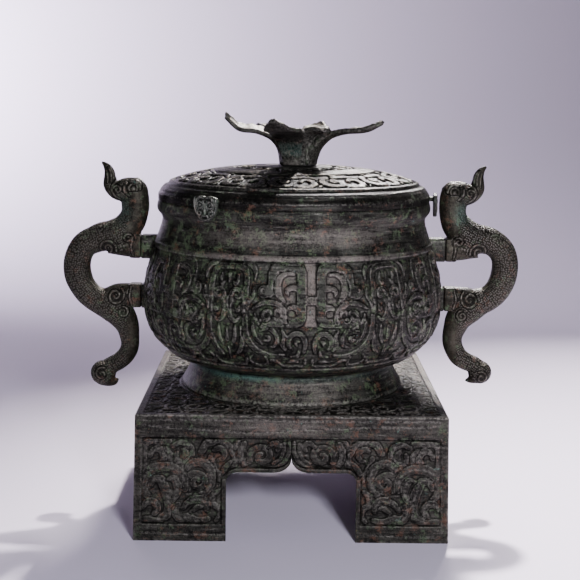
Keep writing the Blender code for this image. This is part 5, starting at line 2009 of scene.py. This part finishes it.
LEFT_SPINE: tuple[Station, ...] = (
    (133.4, 262.6, 5.4), (131.6, 259.6, 8.8), (130.4, 255.4, 10.9), (130.0, 250.0, 11.5), (129.6, 242.4, 11.6),
    (130.2, 236.6, 11.2), (132.6, 230.0, 11.6), (139.0, 222.0, 12.8),
    (148.0, 217.6, 13.0), (156.4, 216.4, 12.2), (163.6, 213.8, 11.3), (170.6, 210.2, 10.9), (175.4, 203.6, 11.0),
    (177.8, 195.8, 11.3), (178.0, 188.8, 11.4), (176.8, 182.6, 11.4), (174.2, 176.4, 10.9), (170.0, 170.4, 10.8),
    (164.6, 165.6, 10.8), (157.0, 161.8, 11.8), (147.8, 157.2, 13.0), (140.8, 149.6, 11.6), (136.9, 142.0, 9.8),
    (135.4, 134.6, 8.4), (134.8, 128.2, 7.7), (135.8, 122.4, 7.5), (139.0, 116.8, 7.4), (144.2, 112.2, 7.3),
    (150.4, 108.6, 7.3), (155.6, 104.6, 8.4),
)
LEFT_BEAK: tuple[Station, ...] = (
    (158.6, 101.0, 9.4), (156.2, 97.8, 7.8), (152.4, 95.4, 5.2), (148.2, 95.0, 3.4), (144.8, 97.2, 0.8),
)
RIGHT_SPINE: tuple[Station, ...] = (
    (133.8, 262.8, 5.4), (132.2, 259.8, 8.8), (131.2, 255.8, 11.0), (130.8, 250.4, 11.7), (130.2, 242.6, 11.2),
    (131.0, 235.8, 11.1), (134.0, 229.2, 12.0), (141.2, 221.8, 13.0),
    (149.6, 218.4, 12.6), (156.2, 217.6, 11.8), (162.0, 216.2, 11.3), (167.8, 212.6, 10.9), (171.9, 208.0, 10.9),
    (174.4, 201.8, 10.8), (175.0, 194.8, 11.0), (173.8, 186.0, 11.1), (171.0, 178.8, 10.9), (167.0, 173.0, 10.7),
    (161.0, 168.2, 10.7), (153.8, 165.2, 12.0), (145.2, 159.6, 13.0), (138.4, 151.6, 11.2), (135.4, 144.2, 9.7),
    (133.5, 137.0, 8.5), (133.6, 130.8, 8.1), (135.8, 124.8, 7.9), (139.4, 119.2, 7.8), (145.4, 115.2, 7.5),
    (151.6, 112.6, 7.3), (156.0, 108.6, 8.0),
)
RIGHT_BEAK: tuple[Station, ...] = (
    (157.6, 105.6, 9.0), (156.0, 102.6, 6.8), (152.2, 100.6, 4.4), (148.4, 99.4, 2.6), (145.2, 98.9, 0.7),
)


def main() -> None:
    """Build every piece of the vessel, then the studio."""
    logging.basicConfig(level=logging.INFO, format="%(message)s")
    # Cast bronze, darkened by burial. The plinth and lid show brown-black oxide, with a painted highlight along the
    # rims that also stands for rubbing.
    dark = BronzePatina(
        "buried_cast_bronze_dark", body="#3a3833", rust_share=0.42, ground=0.0, soil=0.48, rim=0.16, streaks=0.36
    ).material()
    # The bowl took more malachite, and dusty bloom in its fretwork.
    green = BronzePatina(
        "buried_cast_bronze_green", green_share=0.46, green_left=0.04, rust_share=0.36, body="#3d3d37", green="#44523a",
        rust="#573b2d", streaks=0.6, soil=0.7, ground=0.12, rim=0.26,
    ).material()
    # The lid is handled most: smooth and dark, glossy along its ribbons.
    smooth = BronzePatina(
        "buried_cast_bronze_smooth", body="#2e2d29", dark="#131211", metallic=0.75, roughness=0.36, pits=0.5,
        ground=0.0, soil=0.75, rim=0.3, streaks=0.35,
    ).material()
    # Crown and clasps are rubbed by hands and carry a stronger painted highlight along their rims. The crown also gets
    # a painted highlight on its tops.
    worn = BronzePatina("buried_cast_bronze_worn", body="#4a4842", dark="#181715", rim=0.45, streaks=0.1).material()
    # The dragons are chased all over with small scales.
    scaled = ScaledBronze(
        "buried_cast_bronze_scaled", green_share=0.44, rust_share=0.37, body="#38352d", dark="#181612", streaks=0.1
    ).material()
    Plinth().build(dark)
    Bowl().build(green)
    Lid().build(smooth)
    Crown().build(worn)
    for name, bearing, sag in (("front_left", -35.0, 0.0), ("right", 85.0, 2.4), ("back_left", 205.0, 1.0)):
        Clasp(name, bearing, sag).build(worn)
    DragonHandle("left", -1.0, LEFT_SPINE, LEFT_BEAK, (157.4, 102.2, 10.6)).build(scaled)
    DragonHandle("right", 1.0, RIGHT_SPINE, RIGHT_BEAK, (157.4, 106.2, 9.8)).build(scaled)
    Studio().build()


if __name__ == "__main__":
    main()
